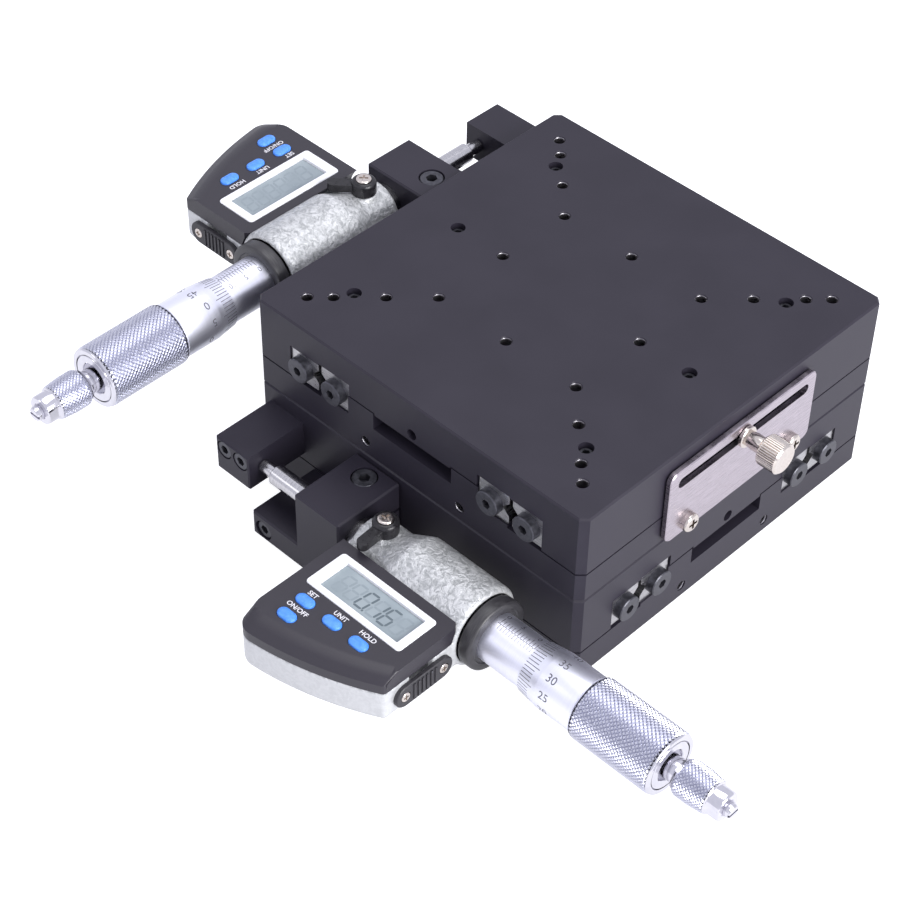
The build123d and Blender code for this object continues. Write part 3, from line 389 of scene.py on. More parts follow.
for stage, body in (("x", "base"), ("y", "x_carriage")):
    casting = copied(cad[f"{stage}_mic_frame"], f"{stage}_casting")
    voxels = casting.modifiers.new("voxels", "REMESH")
    voxels.mode = "VOXEL"
    voxels.voxel_size = 0.00042
    relax = casting.modifiers.new("relax", "SMOOTH")
    relax.factor = 0.5
    relax.iterations = 7
    settle(casting, hammertone, body, [f"{stage}_mic_frame"], 180)


# Display covers: moulded ABS lids over the casting's tray, with a sloped outer edge.
# Each lid snaps onto the tray and holds the bezel and the four keys.
def bevelled(made, width, broad=0.0):
    """Softens a copied CAD mesh's edges, in millimetres; broad is a wider rounding for shallow edges."""
    steepest_shallow = 36
    edit = bmesh.new()
    edit.from_mesh(made.data)
    bmesh.ops.dissolve_limit(edit, angle_limit=math.radians(0.6), verts=edit.verts, edges=edit.edges)
    shallow = edit.edges.layers.float.new("bevel_weight_edge")
    for face in edit.faces:
        face.smooth = True
    for edge in edit.edges:
        bend = math.degrees(edge.calc_face_angle(0))
        edge[shallow] = 1.0 if broad and 20 < bend < steepest_shallow else 0.0
    edit.to_mesh(made.data)
    edit.free()
    if broad:
        wide = made.modifiers.new("broad_round", "BEVEL")
        wide.width = broad / 1000
        wide.segments = 6
        wide.limit_method = "WEIGHT"
        wide.use_clamp_overlap = False
    bevel = made.modifiers.new("soft_edges", "BEVEL")
    bevel.width = width / 1000
    bevel.segments = 2
    bevel.limit_method = "ANGLE"
    bevel.angle_limit = math.radians(steepest_shallow)
    made.modifiers.new("flat_shading", "WEIGHTED_NORMAL")


# Black moulding with a violet cast and a fine spark-eroded texture.
black_plastic, tree, bsdf = material("moulded_black_abs")
texture = noise(tree, millimetres(tree), 3.2, 3)
tree.links.new(tints(tree, texture, "232028", "2b2830"), bsdf.inputs["Base Color"])
tree.links.new(spread(tree, texture, 0.34, 0.46), bsdf.inputs["Roughness"])
relief(tree, bsdf, texture, 0.02, 0.5)
for stage, body in (("x", "base"), ("y", "x_carriage")):
    cover = copied(cad[f"{stage}_mic_cover"], f"{stage}_cover")
    bevelled(cover, 0.3, broad=2.0)
    settle(cover, black_plastic, body, [f"{stage}_mic_cover"], None)


# Bezels: white moulded frames pressed into the covers round the display.
# White ABS, semi-gloss, with a very slight waviness.
white_plastic, tree, bsdf = material("moulded_white_abs")
wave = noise(tree, millimetres(tree), 0.7, 2)
tree.links.new(tints(tree, wave, "e6e6ea", "efeff2"), bsdf.inputs["Base Color"])
tree.links.new(spread(tree, wave, 0.22, 0.32), bsdf.inputs["Roughness"])
relief(tree, bsdf, wave, 0.01, 0.4)
for stage, body in (("x", "base"), ("y", "x_carriage")):
    bezel = copied(cad[f"{stage}_mic_bezel"], f"{stage}_bezel")
    bevelled(bezel, 0.18)
    settle(bezel, white_plastic, body, [f"{stage}_mic_bezel"], None)


# Displays: reflective liquid-crystal panes on a circuit board, with slanted seven-segment digits.
# The pane is clamped under the bezel; the digits are thin dark shapes just above its reflector.
# Grey reflector with a faint blue cast, unevenly shaded, under a glossy face.
lcd, tree, bsdf = material("liquid_crystal_pane")
place = millimetres(tree)
shade = noise(tree, place, 0.08, 2)
tree.links.new(tints(tree, spread(tree, shade, 0, 1), "7f8a90", "919ba0"), bsdf.inputs["Base Color"])
bsdf.inputs["Roughness"].default_value = 0.12
relief(tree, bsdf, noise(tree, place, 0.3, 1), 0.004, 0.3)
# Switched segments: dark grey, and idle ones only a trace darker than the pane.
segment_on, tree, bsdf = material("liquid_crystal_segment_on")
mottle = noise(tree, millimetres(tree), 1.5)
tree.links.new(tints(tree, mottle, "566168", "5f6a70"), bsdf.inputs["Base Color"])
bsdf.inputs["Roughness"].default_value = 0.2
segment_idle, tree, bsdf = material("liquid_crystal_segment_idle")
mottle = noise(tree, millimetres(tree), 1.5)
tree.links.new(tints(tree, mottle, "7d888e", "8a949a"), bsdf.inputs["Base Color"])
bsdf.inputs["Roughness"].default_value = 0.2
# The bars that each shown figure lights. The lower unit reads 0.16 and the upper one is switched off.
lit_of = {"0": "abcdef", "1": "bc", "6": "afgcde", " ": ""}
readings = {"x": "  016 ", "y": "      "}


def segments_of(lit, start, base, height):
    """Flat slanted segments in (s, t) millimetres; t falls towards the digit's top."""
    width, bar, air = height * 0.5, height * 0.11, height * 0.02
    half = height / 2
    shapes = {
        "a": (0, height, 1), "g": (0, half, 1), "d": (0, 0, 1),
        "f": (0, half, 0), "b": (width, half, 0), "e": (0, 0, 0), "c": (width, 0, 0),
    }
    found = []
    for key in lit:
        u, v, flat = shapes[key]
        if flat:
            line = [(air, 0), (bar / 2 + air, bar / 2), (width - bar / 2 - air, bar / 2), (width - air, 0)]
            line += [(width - bar / 2 - air, -bar / 2), (bar / 2 + air, -bar / 2)]
        else:
            line = [(0, air), (bar / 2, bar / 2 + air), (bar / 2, half - bar / 2 - air), (0, half - air)]
            line += [(-bar / 2, half - bar / 2 - air), (-bar / 2, bar / 2 + air)]
        outline = []
        for x, y in line:
            rise = v + y
            outline.append((start + u + x + rise * 0.14, base - rise))
        found.append(outline)
    return found


def on_case(s, t, height):
    """A point on the display case; t runs outwards from the edge beside the barrel."""
    return (s, -60 - t, height)


def flat_shapes(name, outlines, height, finish, slot, body, stage):
    """Thin flat shapes in (s, t) millimetres at one height on the display case."""
    points, faces = [], []
    for outline in outlines:
        faces.append(tuple(range(len(points) + len(outline) - 1, len(points) - 1, -1)))
        points += [on_case(s, t, height) for s, t in outline]
    made = piece(name, points, faces, finish, slot, body, (), stage, 180)
    edit = bmesh.new()
    edit.from_mesh(made.data)
    for face in edit.faces:
        if face.normal.z < 0:
            face.normal_flip()
    edit.to_mesh(made.data)
    edit.free()


first_digit, digit_pitch, digit_base, digit_height, pane_top = 8.4, 4.1, 37.4, 6.0, 25.5
point = [(19.7, 37.2), (20.3, 37.2), (20.3, 37.8), (19.7, 37.8)]
for stage, body in (("x", "base"), ("y", "x_carriage")):
    pane = copied(cad[f"{stage}_mic_display"], f"{stage}_display")
    settle(pane, lcd, body, [f"{stage}_mic_display"])
    shown, idle = [], []
    for place_number, digit in enumerate(readings[stage]):
        start = first_digit + place_number * digit_pitch
        lit = lit_of[digit]
        unlit = [k for k in "abcdefg" if k not in lit]
        shown += segments_of(lit, start, digit_base, digit_height)
        idle += segments_of(unlit, start, digit_base, digit_height)
    if stage == "x":
        shown.append(point)
        flat_shapes("x_digits", shown, pane_top + 0.03, segment_on, "display_glass", body, stage)
    flat_shapes(f"{stage}_idle_digits", idle, pane_top + 0.02, segment_idle, "display_glass", body, stage)


# Keys: four moulded rubber buttons that stand through the cover and push on the board.
# Obround with a domed top and a soft rim.
# Saturated blue rubber, a little lighter on the dome where light passes in.
blue_rubber, tree, bsdf = material("blue_silicone_rubber")
bloom = noise(tree, millimetres(tree), 1.1, 3)
tree.links.new(tints(tree, spread(tree, bloom, 0, 1), "4484e4", "5593ee"), bsdf.inputs["Base Color"])
bsdf.inputs["Roughness"].default_value = 0.42
bsdf.inputs["Subsurface Weight"].default_value = 0.15
bsdf.inputs["Subsurface Radius"].default_value = (0.3, 0.6, 1.0)
bsdf.inputs["Subsurface Scale"].default_value = 0.001
relief(tree, bsdf, bloom, 0.02, 0.3)


def obround(centre, length, width, around):
    """Points round a slot shape in (s, t)."""
    straight_part = (length - width) / 2
    found = []
    for k in range(around):
        angle = 2 * math.pi * (k + 0.5) / around
        x, y = width / 2 * math.cos(angle), width / 2 * math.sin(angle)
        shift = straight_part if x > 0 else -straight_part
        found.append((centre[0] + shift + x, centre[1] + y))
    return found


def own(stage, corner):
    """A row-frame corner in metres as a stage's own millimetres."""
    return to_row(stage).inverted() @ Vector(corner)


key_length, key_width, key_around = 5.9, 3.4, 48
key_rings = [(0, 24.9), (0, 26.45), (0.08, 26.65), (0.25, 26.8), (0.55, 26.9), (1.0, 26.97), (1.5, 27.0)]
for stage in "xy":
    for key in ("power", "set", "unit", "hold"):
        node = f"{stage}_mic_{key}_button"
        low, high = (own(stage, c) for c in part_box(node))
        middle = ((low.x + high.x) / 2, -60 - (low.y + high.y) / 2)
        points = []
        for inset, height in key_rings:
            outline = obround(middle, key_length - 2 * inset, key_width - 2 * inset, key_around)
            points += [on_case(s, t, height) for s, t in outline]
        faces = ring_faces(len(key_rings), key_around)
        faces.append(tuple(range(len(points) - key_around, len(points))))
        piece(
            f"{stage}_{key}_key", points, [f[::-1] for f in faces], blue_rubber, "blue_plastic",
            f"{stage}_{key}_button", [node], stage, 50,
        )


# Key labels: pale ink printed on the cover beside each key, with generic words.
# Off-white ink, matt and slightly uneven.
white_ink, tree, bsdf = material("white_printing_ink")
ink = noise(tree, millimetres(tree), 4.0, 2)
tree.links.new(tints(tree, ink, "c9c7cc", "e8e7ea"), bsdf.inputs["Base Color"])
bsdf.inputs["Roughness"].default_value = 0.6


def words(text, size, thicken=0.0):
    """Triangulated outlines of a word in millimetres: points and faces."""
    curve = bpy.data.curves.new("word", "FONT")
    curve.body = text
    curve.size = size
    curve.resolution_u = 3
    curve.offset = size * thicken
    holder = bpy.data.objects.new("word", curve)
    bpy.context.scene.collection.objects.link(holder)
    bpy.context.view_layer.update()
    mesh = bpy.data.meshes.new_from_object(holder.evaluated_get(bpy.context.evaluated_depsgraph_get()))
    points = [(v.co.x, v.co.y) for v in mesh.vertices]
    faces = [tuple(f.vertices) for f in mesh.polygons]
    bpy.data.objects.remove(holder)
    bpy.data.meshes.remove(mesh)
    return points, faces


# Each word with the (s, t) of its first letter's foot.
labels = (("SET", 6.3, 43.7), ("ON/OFF", 4.9, 49.8), ("UNIT", 15.9, 43.8), ("HOLD", 25.2, 43.7))
letter_size, letter_weight, ink_height = 2.0, 0.018, 26.215
for stage, body in (("x", "base"), ("y", "x_carriage")):
    points, faces = [], []
    for text, s, t in labels:
        glyphs, tris = words(text, letter_size, letter_weight)
        faces += [tuple(len(points) + i for i in f) for f in tris]
        points += [on_case(s + u, t - v, ink_height) for u, v in glyphs]
    piece(f"{stage}_key_labels", points, faces, white_ink, "black_plastic", body, (), stage, 180)


# Port covers: black ribbed rubber strips over the data socket, each held by two plated screws.
# Black rubber with a light bloom.
black_rubber, tree, bsdf = material("moulded_black_rubber")
dust = noise(tree, millimetres(tree), 1.6, 3)
tree.links.new(tints(tree, spread(tree, dust, 0, 1), "232226", "2f2d32"), bsdf.inputs["Base Color"])
tree.links.new(spread(tree, dust, 0.42, 0.56), bsdf.inputs["Roughness"])
relief(tree, bsdf, dust, 0.02, 0.5)


def short(low, high):
    """True for an island shorter than 6 mm in every direction."""
    return max(h - l for l, h in zip(low, high)) < 6


def long(low, high):
    """True for the other islands, which is the strip itself."""
    return not short(low, high)


for stage, body in (("x", "base"), ("y", "x_carriage")):
    source = cad[f"{stage}_mic_port_cover"]
    strip = copied(source, f"{stage}_port_strip", long)
    settle(strip, black_rubber, body, [source.name])
    heads = copied(source, f"{stage}_port_screws", short)
    settle(heads, bright_nickel, body, [source.name])


# Lock levers: blackened steel with a cross-recessed screw down through the hub.
# The lever turns a cam that clamps the spindle in the casting.
# Smooth satin black, edges slightly rubbed.
lever_black, tree, bsdf = material("blackened_lever_steel")
rub = noise(tree, millimetres(tree), 0.8, 3)
tree.links.new(tints(tree, spread(tree, rub, 0, 1), "1f1e21", "2b2a2d"), bsdf.inputs["Base Color"])
bsdf.inputs["Metallic"].default_value = 0.3
tree.links.new(spread(tree, rub, 0.26, 0.38), bsdf.inputs["Roughness"])


def is_screw(low, high):
    """True for the island that is the slim screw in the hub."""
    return high[0] - low[0] < 5.2 and high[1] - low[1] < 5.2


def is_arm(low, high):
    """True for the lever itself."""
    return not is_screw(low, high)


for stage in "xy":
    source = cad[f"{stage}_mic_lock_lever"]
    lever_body = f"{stage}_lock_lever"
    arm = copied(source, f"{stage}_lever_arm", is_arm)
    bevelled(arm, 0.25)
    settle(arm, lever_black, lever_body, [source.name], None)
    screw = copied(source, f"{stage}_lever_screw", is_screw)
    settle(screw, bright_nickel, lever_body, [source.name])


# Stems and spindles: steel, hardened and ground; the stem is clamped in the bracket's split bore.
# Polished steel with faint rings left by grinding round the axis.
polished_steel, tree, bsdf = material("ground_round_steel")
turned = add(tree, "UVMap", uv_map="turned").outputs[0]
rings_at = add(tree, "Mapping", {"Vector": turned, "Scale": (9, 0.15, 1)}).outputs[0]
rings = noise(tree, rings_at, 1.0, 3)
tree.links.new(tints(tree, spread(tree, rings, 0, 1), "b5b4b7", "d0cfd1"), bsdf.inputs["Base Color"])
bsdf.inputs["Metallic"].default_value = 1.0
tree.links.new(spread(tree, rings, 0.14, 0.26), bsdf.inputs["Roughness"])
relief(tree, bsdf, rings, 0.003, 0.5)


axis_y, axis_z = -75, 18.3


def turned_piece(name, profile, around, finish, slot, body, node, stage, sharp=30, shape=None):
    """A round piece on the micrometer's axis, with its UVs along and around it."""
    points, faces, uvs = lathe((0, axis_y, axis_z), (1, 0, 0), (0, 0, 1), profile, around, shape)
    piece(name, points, faces, finish, slot, body, [node], stage, sharp, uvs)


spindle_profile = [(-42.35, 0.01), (-42.35, 1.7), (-42.05, 2.0), (-37.4, 2.0), (-37.35, 2.6), (-36.95, 3.0)]
spindle_profile += [(44.0, 3.0)]
stem_profile = [(-21.1, 3.1), (-21.1, 5.6), (-20.7, 6.0), (-1.05, 6.0)]
for stage, body in (("x", "base"), ("y", "x_carriage")):
    rod, stem, moving = f"{stage}_mic_spindle", f"{stage}_mic_stem", f"{stage}_spindle"
    turned_piece(
        f"{stage}_spindle_rod", spindle_profile, 64, polished_steel, "ground_steel", moving, rod, stage,
    )
    turned_piece(f"{stage}_stem_tube", stem_profile, 96, polished_steel, "ground_steel", body, stem, stage)
    dress(cad[f"{stage}_mic_rotor"], spring_wire)


# Collars: black anodised rings that close the casting round the sleeve.
# Lathe marks run round them: the bump and roughness let them catch the light, and the base colour paints
# them as thin lighter streaks, a painted sheen.
collar_black, tree, bsdf = material("turned_black_collar")
turned = add(tree, "UVMap", uv_map="turned").outputs[0]
cut_at = add(tree, "Mapping", {"Vector": turned, "Scale": (5, 0.4, 1)}).outputs[0]
lathe_cuts_and_sheen = noise(tree, cut_at, 1.0, 4, 0.6)
# Painted sheen: the lathe marks lighten the base colour in thin streaks round the axis.
tree.links.new(tints(tree, spread(tree, lathe_cuts_and_sheen, 0, 1), "232225", "3c3b3e"), bsdf.inputs["Base Color"])
tree.links.new(spread(tree, lathe_cuts_and_sheen, 0.3, 0.46), bsdf.inputs["Roughness"])
relief(tree, bsdf, lathe_cuts_and_sheen, 0.03, 0.7)
collar_profile = [(42.0, 7.1), (42.0, 10.0), (42.3, 10.35), (42.6, 10.4), (45.2, 10.4), (45.7, 10.25)]
collar_profile += [(46.0, 9.8), (46.0, 8.2), (45.7, 7.9), (45.7, 7.05)]
for stage, body in (("x", "base"), ("y", "x_carriage")):
    node = f"{stage}_mic_collar"
    turned_piece(
        f"{stage}_collar_ring", collar_profile, 128, collar_black, "black_collar", body, node, stage, 40,
    )


# Sleeves: satin-chromed steel tubes fixed in the casting, engraved with the millimetre scale.
# One line runs along the sleeve with millimetre marks on one side and half millimetres on the other.
# Pale lavender-silver satin: soft, with very fine rings round the axis.
satin_chrome, tree, bsdf = material("satin_chrome_plate")
turned = add(tree, "UVMap", uv_map="turned").outputs[0]
satin_at = add(tree, "Mapping", {"Vector": turned, "Scale": (7, 0.1, 1)}).outputs[0]
satin = noise(tree, satin_at, 1.0, 3)
tree.links.new(tints(tree, spread(tree, satin, 0, 1), "eeeffc", "f4f5ff"), bsdf.inputs["Base Color"])
bsdf.inputs["Metallic"].default_value = 1.0
tree.links.new(spread(tree, satin, 0.36, 0.44), bsdf.inputs["Roughness"])
relief(tree, bsdf, satin, 0.003, 0.5)
# Engraving filled with dark grey enamel.
dark_enamel, tree, bsdf = material("dark_engraving_enamel")
fill = noise(tree, millimetres(tree), 5.0, 2)
tree.links.new(tints(tree, fill, "3c3b44", "52515b"), bsdf.inputs["Base Color"])
bsdf.inputs["Roughness"].default_value = 0.5


def on_barrel(s, degrees, radius):
    """A point on the micrometer axis' surface; the angle runs from the top towards the table."""
    angle = math.radians(degrees)
    return (s, axis_y + radius * math.sin(angle), axis_z + radius * math.cos(angle))


def mark(points, faces, s0, s1, a0, a1, radius):
    """One engraved line as a patch from s0 to s1 and from angle a0 to a1."""
    steps = max(1, int(abs(a1 - a0) / 4))
    for k in range(steps + 1):
        angle = a0 + (a1 - a0) * k / steps
        points += [on_barrel(s0, angle, radius(s0)), on_barrel(s1, angle, radius(s1))]
        if k:
            n = len(points)
            faces.append((n - 4, n - 3, n - 1, n - 2))


def figure(points, faces, text, size, s, degrees, radius):
    """A number wrapped on the barrel, read along the axis, centred on an angle."""
    glyphs, tris = words(text, size)
    tall = size * 0.7
    first = len(points)
    for u, v in glyphs:
        angle = degrees + math.degrees((v - tall / 2) / radius(s))
        points.append(on_barrel(s + u, angle, radius(s + u)))
    faces += [tuple(first + i for i in f) for f in tris]


def outward(made, stage):
    """Turns every face of an engraving away from the micrometer's axis."""
    edit = bmesh.new()
    edit.from_mesh(made.data)
    into_stage = to_row(stage).inverted()
    for face in edit.faces:
        middle = into_stage @ face.calc_center_median()
        away = Vector((0, middle.y - axis_y, middle.z - axis_z))
        normal = into_stage.to_3x3() @ face.normal
        if normal.dot(away) < 0:
            face.normal_flip()
    edit.to_mesh(made.data)
    edit.free()


# Places along the sleeve in millimetres, and round it in degrees from the top.
sleeve_r, index_angle = 7.0, -6.0
scale_zero, scale_length, half_width, line_start, line_end, half_line = 47.5, 25, 0.08, 46.9, 74.5, 0.55
long_mark, short_mark, lower_mark, figure_size, figure_angle = 20, 14, 13, 2.2, 31
sleeve_profile = [(45.0, sleeve_r), (75.6, sleeve_r), (76.0, 6.7), (76.0, 5.5)]


def at_sleeve(s):
    """The radius just above the sleeve."""
    return sleeve_r + 0.012


for stage, body in (("x", "base"), ("y", "x_carriage")):
    node = f"{stage}_mic_sleeve"
    turned_piece(
        f"{stage}_sleeve_tube", sleeve_profile, 128, satin_chrome, "satin_chrome", body, node, stage,
    )
    points, faces = [], []
    mark(points, faces, line_start, line_end, index_angle - half_line, index_angle + half_line, at_sleeve)
    for tick in range(scale_length + 1):
        s, mid = scale_zero + tick, scale_zero + tick + 0.5
        reach = index_angle + (long_mark if tick % 5 == 0 else short_mark)
        mark(points, faces, s - half_width, s + half_width, index_angle, reach, at_sleeve)
        if tick < scale_length:
            reach = index_angle - lower_mark
            mark(points, faces, mid - half_width, mid + half_width, reach, index_angle, at_sleeve)
        if tick % 5 == 0:
            shift = 0.5 if tick < 10 else 1.0
            figure(points, faces, str(tick), figure_size, s - shift, index_angle + figure_angle, at_sleeve)
    scale = piece(f"{stage}_sleeve_scale", points, faces, dark_enamel, "satin_chrome", body, (), stage, 180)
    outward(scale, stage)


# Thimbles: satin-chromed steel, screwed to the spindle, with fifty graduations on a bevelled lip.
# The grip is diamond knurled and the end face is polished round a thin dark groove.
# Sharper and brighter chrome for the knurl, so that each small facet flashes by itself.
knurl_chrome, tree, bsdf = material("knurled_chrome")
facets = noise(tree, millimetres(tree), 1.8, 2)
tree.links.new(tints(tree, facets, "bcbdca", "d6d7e2"), bsdf.inputs["Base Color"])
bsdf.inputs["Metallic"].default_value = 1.0
tree.links.new(spread(tree, facets, 0.24, 0.34), bsdf.inputs["Roughness"])
# Mirror-bright chrome with the faintest haze.
bright_chrome, tree, bsdf = material("bright_chrome_plate")
film = noise(tree, millimetres(tree), 0.6, 3)
tree.links.new(tints(tree, film, "cdccd4", "dddce2"), bsdf.inputs["Base Color"])
bsdf.inputs["Metallic"].default_value = 1.0
tree.links.new(spread(tree, film, 0.08, 0.17), bsdf.inputs["Roughness"])


def diamond_knurl(start, end, radius, depth, count, rows):
    """A diamond knurl: flat-topped pyramids between crossed grooves. radius is a function of s."""
    top = 0.5
    points, faces = [], []

    def at(i, j, drop):
        s = start + (end - start) * j / (2 * rows)
        return on_barrel(s, 180 * i / count, radius(s) - drop)

    lattice = {}
    for j in range(2 * rows + 1):
        for i in range(2 * count):
            if (i + j) % 2 == 0:
                lattice[i, j] = len(points)
                points.append(at(i, j, depth))
    for j in range(2 * rows + 1):
        for i in range(2 * count):
            if (i + j) % 2 == 0:
                continue
            corners = [(i + 1, j), (i, j + 1), (i - 1, j), (i, j - 1)]
            present = [(a % (2 * count), b) for a, b in corners if 0 <= b <= 2 * rows]
            if len(present) == 4:
                crown = len(points)
                for a, b in corners:
                    points.append(at(i + (a - i) * top, j + (b - j) * top, 0))
                base = [lattice[c] for c in present]
                faces.append((crown, crown + 1, crown + 2, crown + 3))
                for k in range(4):
                    faces.append((base[k], base[(k + 1) % 4], crown + (k + 1) % 4, crown + k))
            else:
                faces.append(tuple(lattice[c] for c in present) + (len(points),))
                points.append(at(i, j, depth))
    return points, faces


lip_start, lip_end, lip_r, lip_rise, tube_step = 60.0, 66.0, 7.4, 0.8, 0.05
lip_profile = [(lip_start, 7.15), (lip_start, lip_r), (lip_end, 8.2), (66.15, 8.25), (78.0, 8.25)]
lip_profile += [(78.25, 8.1), (78.35, 8.1)]
grip_back = [(78.2, 8.0), (78.35, 8.5), (78.7, 8.8)]
end_profile = [(104.0, 8.82), (104.3, 8.7), (104.5, 8.45), (104.5, 7.45), (104.45, 7.2), (103.0, 7.2)]
end_profile += [(103.0, 6.9), (104.35, 6.9), (104.5, 6.75), (104.5, 4.8), (104.3, 4.6), (103.0, 4.6)]
end_profile += [(103.0, 3.45)]


def thimble_lip(s):
    """The radius just above the bevelled lip and the tube behind it."""
    slope = (min(s, lip_end) - lip_start) * lip_rise / (lip_end - lip_start)
    return lip_r + slope + (tube_step if s > lip_end else 0) + 0.012


def grip_radius(s):
    """The grip's outer radius, with a small bevel at each end."""
    return 9.0 - max(0.0, 79.1 - s) * 0.5 - max(0.0, s - 103.5) * 0.5


# The graduation that lies at front_angle on each unit, which sets how far its thimble is turned.
tick_angle, front_angle, front_tick = 7.2, index_angle + 28, {"x": 38, "y": 48}
tick_start, long_tick, short_tick, half_tick, number_size, number_start = 60.25, 4.8, 3.7, 0.7, 3.2, 67.6
for stage in "xy":
    body, node = f"{stage}_spindle", f"{stage}_mic_thimble"
    turned_piece(
        f"{stage}_thimble_tube", lip_profile, 160, satin_chrome, "satin_chrome", body, node, stage, 20,
    )
    points, faces = diamond_knurl(78.7, 104.0, grip_radius, depth=0.36, count=44, rows=19)
    knurl = piece(
        f"{stage}_thimble_knurl", points, faces, knurl_chrome, "satin_chrome", body, [node], stage, 12,
    )
    outward(knurl, stage)
    turned_piece(
        f"{stage}_thimble_shoulder", grip_back, 160, bright_chrome, "satin_chrome", body, node, stage,
    )
    turned_piece(f"{stage}_thimble_end", end_profile, 160, bright_chrome, "satin_chrome", body, node, stage)
    points, faces = [], []
    zero = front_angle - front_tick[stage] * tick_angle
    for tick in range(50):
        angle = zero + tick * tick_angle
        tick_end = tick_start + (long_tick if tick % 5 == 0 else short_tick)
        mark(points, faces, tick_start, tick_end, angle - half_tick, angle + half_tick, thimble_lip)
        if tick % 5 == 0:
            figure(points, faces, str(tick), number_size, number_start, angle, thimble_lip)
    graduation = piece(
        f"{stage}_thimble_scale", points, faces, dark_enamel, "satin_chrome", body, (), stage, 180,
    )
    outward(graduation, stage)


# Ratchet stops: chromed brass knobs that slip when the spindle meets the table.
# A knurled knob on a bright neck ends in a cap with two flats and a slotted screw.
neck_profile = [(98.4, 3.4), (107.4, 3.4), (107.7, 3.7), (107.9, 4.4), (108.5, 4.6)]
cap_profile = [(118.3, 4.75), (118.5, 4.55), (118.65, 4.2), (119.2, 4.2), (121.9, 4.2), (122.2, 4.1)]
cap_profile += [(122.5, 3.8), (122.5, 2.4), (122.2, 2.2), (122.2, 2.0)]
cap_around, half_flats = 96, 3.6
screw_profile = [(122.0, 2.08), (123.9, 2.08), (124.05, 1.95), (123.7, 1.95), (123.7, 0.01)]


def knob_radius(s):
    """The knob's outer radius, which tapers towards both ends."""
    return 5.35 - max(0.0, 109.6 - s) * 0.45 - max(0.0, s - 113.5) * 0.1


def two_flats(i, k, radius):
    """The cap is cut flat on two sides over its middle length."""
    angle = 2 * math.pi * k / cap_around
    return min(radius, half_flats / max(abs(math.sin(angle)), 0.01)) if 3 <= i <= 4 else radius


def slotted_head():
    """The screw's end face: two raised half rounds with the slot between them."""
    points, faces = [], []
    half_slot, screw_r, steps = 0.36, 1.9, 16
    edge_angle = math.asin(half_slot / screw_r)
    for side in (-1, 1):
        outline = []
        for k in range(steps + 1):
            angle = edge_angle + (math.pi - 2 * edge_angle) * k / steps
            outline.append((math.cos(angle), side * math.sin(angle)))
        first = len(points)
        for distance, radius in ((123.7, 1.93), (124.35, 1.93), (124.5, 1.78)):
            points += [(distance, axis_y + radius * u, axis_z + radius * v) for u, v in outline]
        faces += ring_faces(3, steps + 1, first)
        faces.append(tuple(range(len(points) - steps - 1, len(points))))
    return points, faces


for stage in "xy":
    body, node = f"{stage}_ratchet", f"{stage}_mic_ratchet"
    turned_piece(
        f"{stage}_ratchet_neck", neck_profile, 96, bright_chrome, "satin_chrome", body, node, stage,
    )
    points, faces = diamond_knurl(108.5, 118.3, knob_radius, depth=0.3, count=28, rows=9)
    knurl = piece(
        f"{stage}_ratchet_knurl", points, faces, knurl_chrome, "satin_chrome", body, [node], stage, 12,
    )
    outward(knurl, stage)
    turned_piece(
        f"{stage}_ratchet_cap", cap_profile, cap_around, bright_chrome, "satin_chrome", body, node, stage,
        shape=two_flats,
    )
    turned_piece(
        f"{stage}_ratchet_screw", screw_profile, 64, bright_chrome, "satin_chrome", body, node, stage,
    )
    points, faces = slotted_head()
    head = piece(
        f"{stage}_ratchet_slot", points, faces, bright_chrome, "satin_chrome", body, [node], stage, 30,
    )
    edit = bmesh.new()
    edit.from_mesh(head.data)
    bmesh.ops.recalc_face_normals(edit, faces=edit.faces)
    edit.to_mesh(head.data)
    edit.free()


# Studio: a white table and soft lamps on a white surround.
# White card, matt and slightly mottled. It lights the part as pale grey card would;
# it glows to the camera, and half as much in mirrors, so that it reads as pure white.
white_card, tree, bsdf = material("white_card")
fibre = noise(tree, millimetres(tree), 0.02, 2)
tree.links.new(tints(tree, fibre, "bcbcc0", "c4c4c8"), bsdf.inputs["Base Color"])
bsdf.inputs["Roughness"].default_value = 0.8
bsdf.inputs["Specular IOR Level"].default_value = 0.1
bsdf.inputs["Emission Color"].default_value = (1, 1, 1, 1)
paths = add(tree, "LightPath").outputs
mirrored = add(tree, "Math", {0: paths["Is Glossy Ray"], 1: 0.5}, operation="MULTIPLY").outputs[0]
seen = add(tree, "Math", {0: paths["Is Camera Ray"], 1: mirrored}, operation="MAXIMUM").outputs[0]
tree.links.new(spread(tree, seen, 0, 0.86, 0, 1), bsdf.inputs["Emission Strength"])
bpy.ops.mesh.primitive_plane_add(size=6, location=(0, 0, -0.0002))
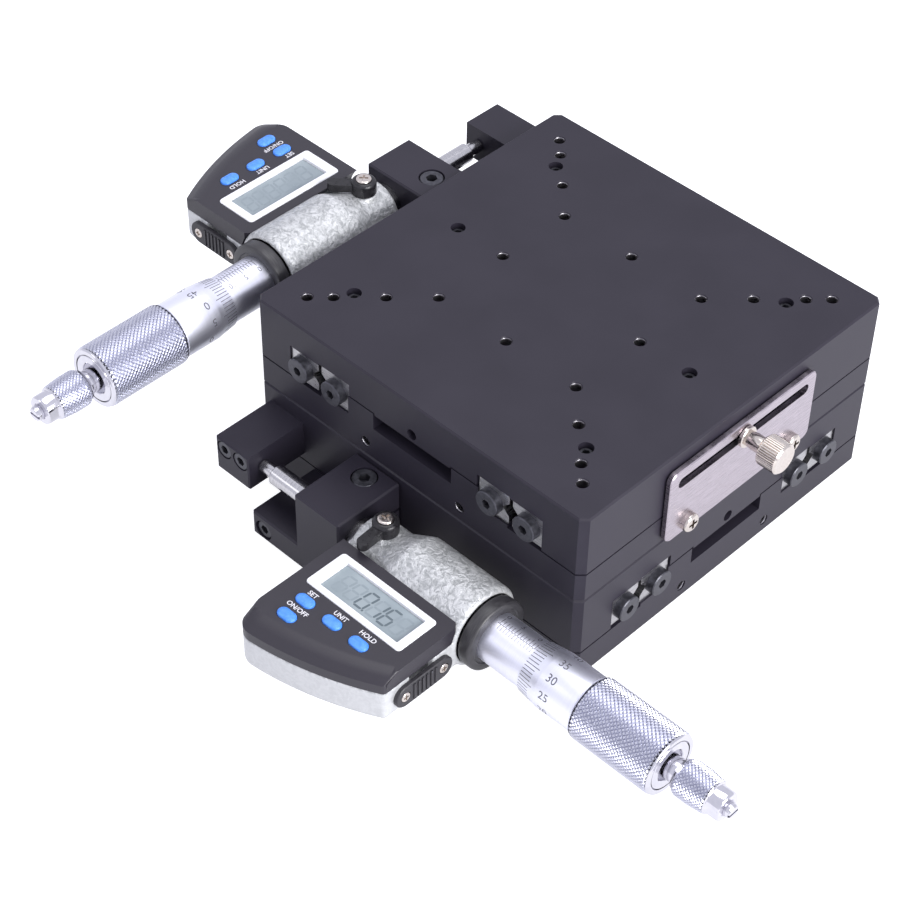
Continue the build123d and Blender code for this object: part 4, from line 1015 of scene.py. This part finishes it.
floor = bpy.context.object
floor.name = "white_table"
floor.data.materials.append(white_card)

world = bpy.data.worlds.new("white_surround")
bpy.context.scene.world = world
world.use_nodes = True
tree = world.node_tree
back = tree.nodes["Background"]
sees = add(tree, "LightPath").outputs["Is Camera Ray"]
tree.links.new(tints(tree, sees, "f1f2ff", "ffffff"), back.inputs["Color"])
tree.links.new(spread(tree, sees, 0.98, 1.0, 0, 1), back.inputs["Strength"])


def lamp(name, at, size, power):
    """A square soft lamp that faces the middle of the part."""
    aim = (0.0, 0.0, 0.03)
    light = bpy.data.lights.new(name, "AREA")
    light.shape = "SQUARE"
    light.size = size
    light.energy = power
    holder = bpy.data.objects.new(name, light)
    holder.location = at
    holder.rotation_euler = (Vector(aim) - Vector(at)).to_track_quat("-Z", "Y").to_euler()
    bpy.context.scene.collection.objects.link(holder)


lamp("overhead_lamp", (-0.1, 0.15, 1.1), 0.7, 3.8)
lamp("right_lamp", (1.0, -0.1, 0.5), 0.6, 15)
lamp("left_front_lamp", (-0.55, -0.75, 0.6), 0.25, 0.3)


# Camera: a long lens above the corner between the two micrometers.
# It leans about a degree to one side.
azimuth, elevation, roll = (math.radians(a) for a in (43.93, 44.05, 0.97))
back_way = Vector((
    math.sin(azimuth) * math.cos(elevation), -math.cos(azimuth) * math.cos(elevation), math.sin(elevation),
))
right = (-back_way).cross(Vector((0, 0, 1))).normalized()
up = right.cross(-back_way)
rolled_right = math.cos(roll) * right + math.sin(roll) * up
rolled_up = -math.sin(roll) * right + math.cos(roll) * up
lens = bpy.data.cameras.new("camera")
lens.sensor_width = 36
lens.lens = 94.64
lens.clip_start = 0.01
camera = bpy.data.objects.new("camera", lens)
turn = Matrix((rolled_right, rolled_up, back_way)).transposed().to_4x4()
aim, distance = Vector((0.018648, -0.064928, 0.059)), 0.59399
camera.matrix_world = Matrix.Translation(aim + back_way * distance) @ turn
bpy.context.scene.collection.objects.link(camera)
bpy.context.scene.camera = camera
bpy.context.scene.view_settings.view_transform = "Standard"
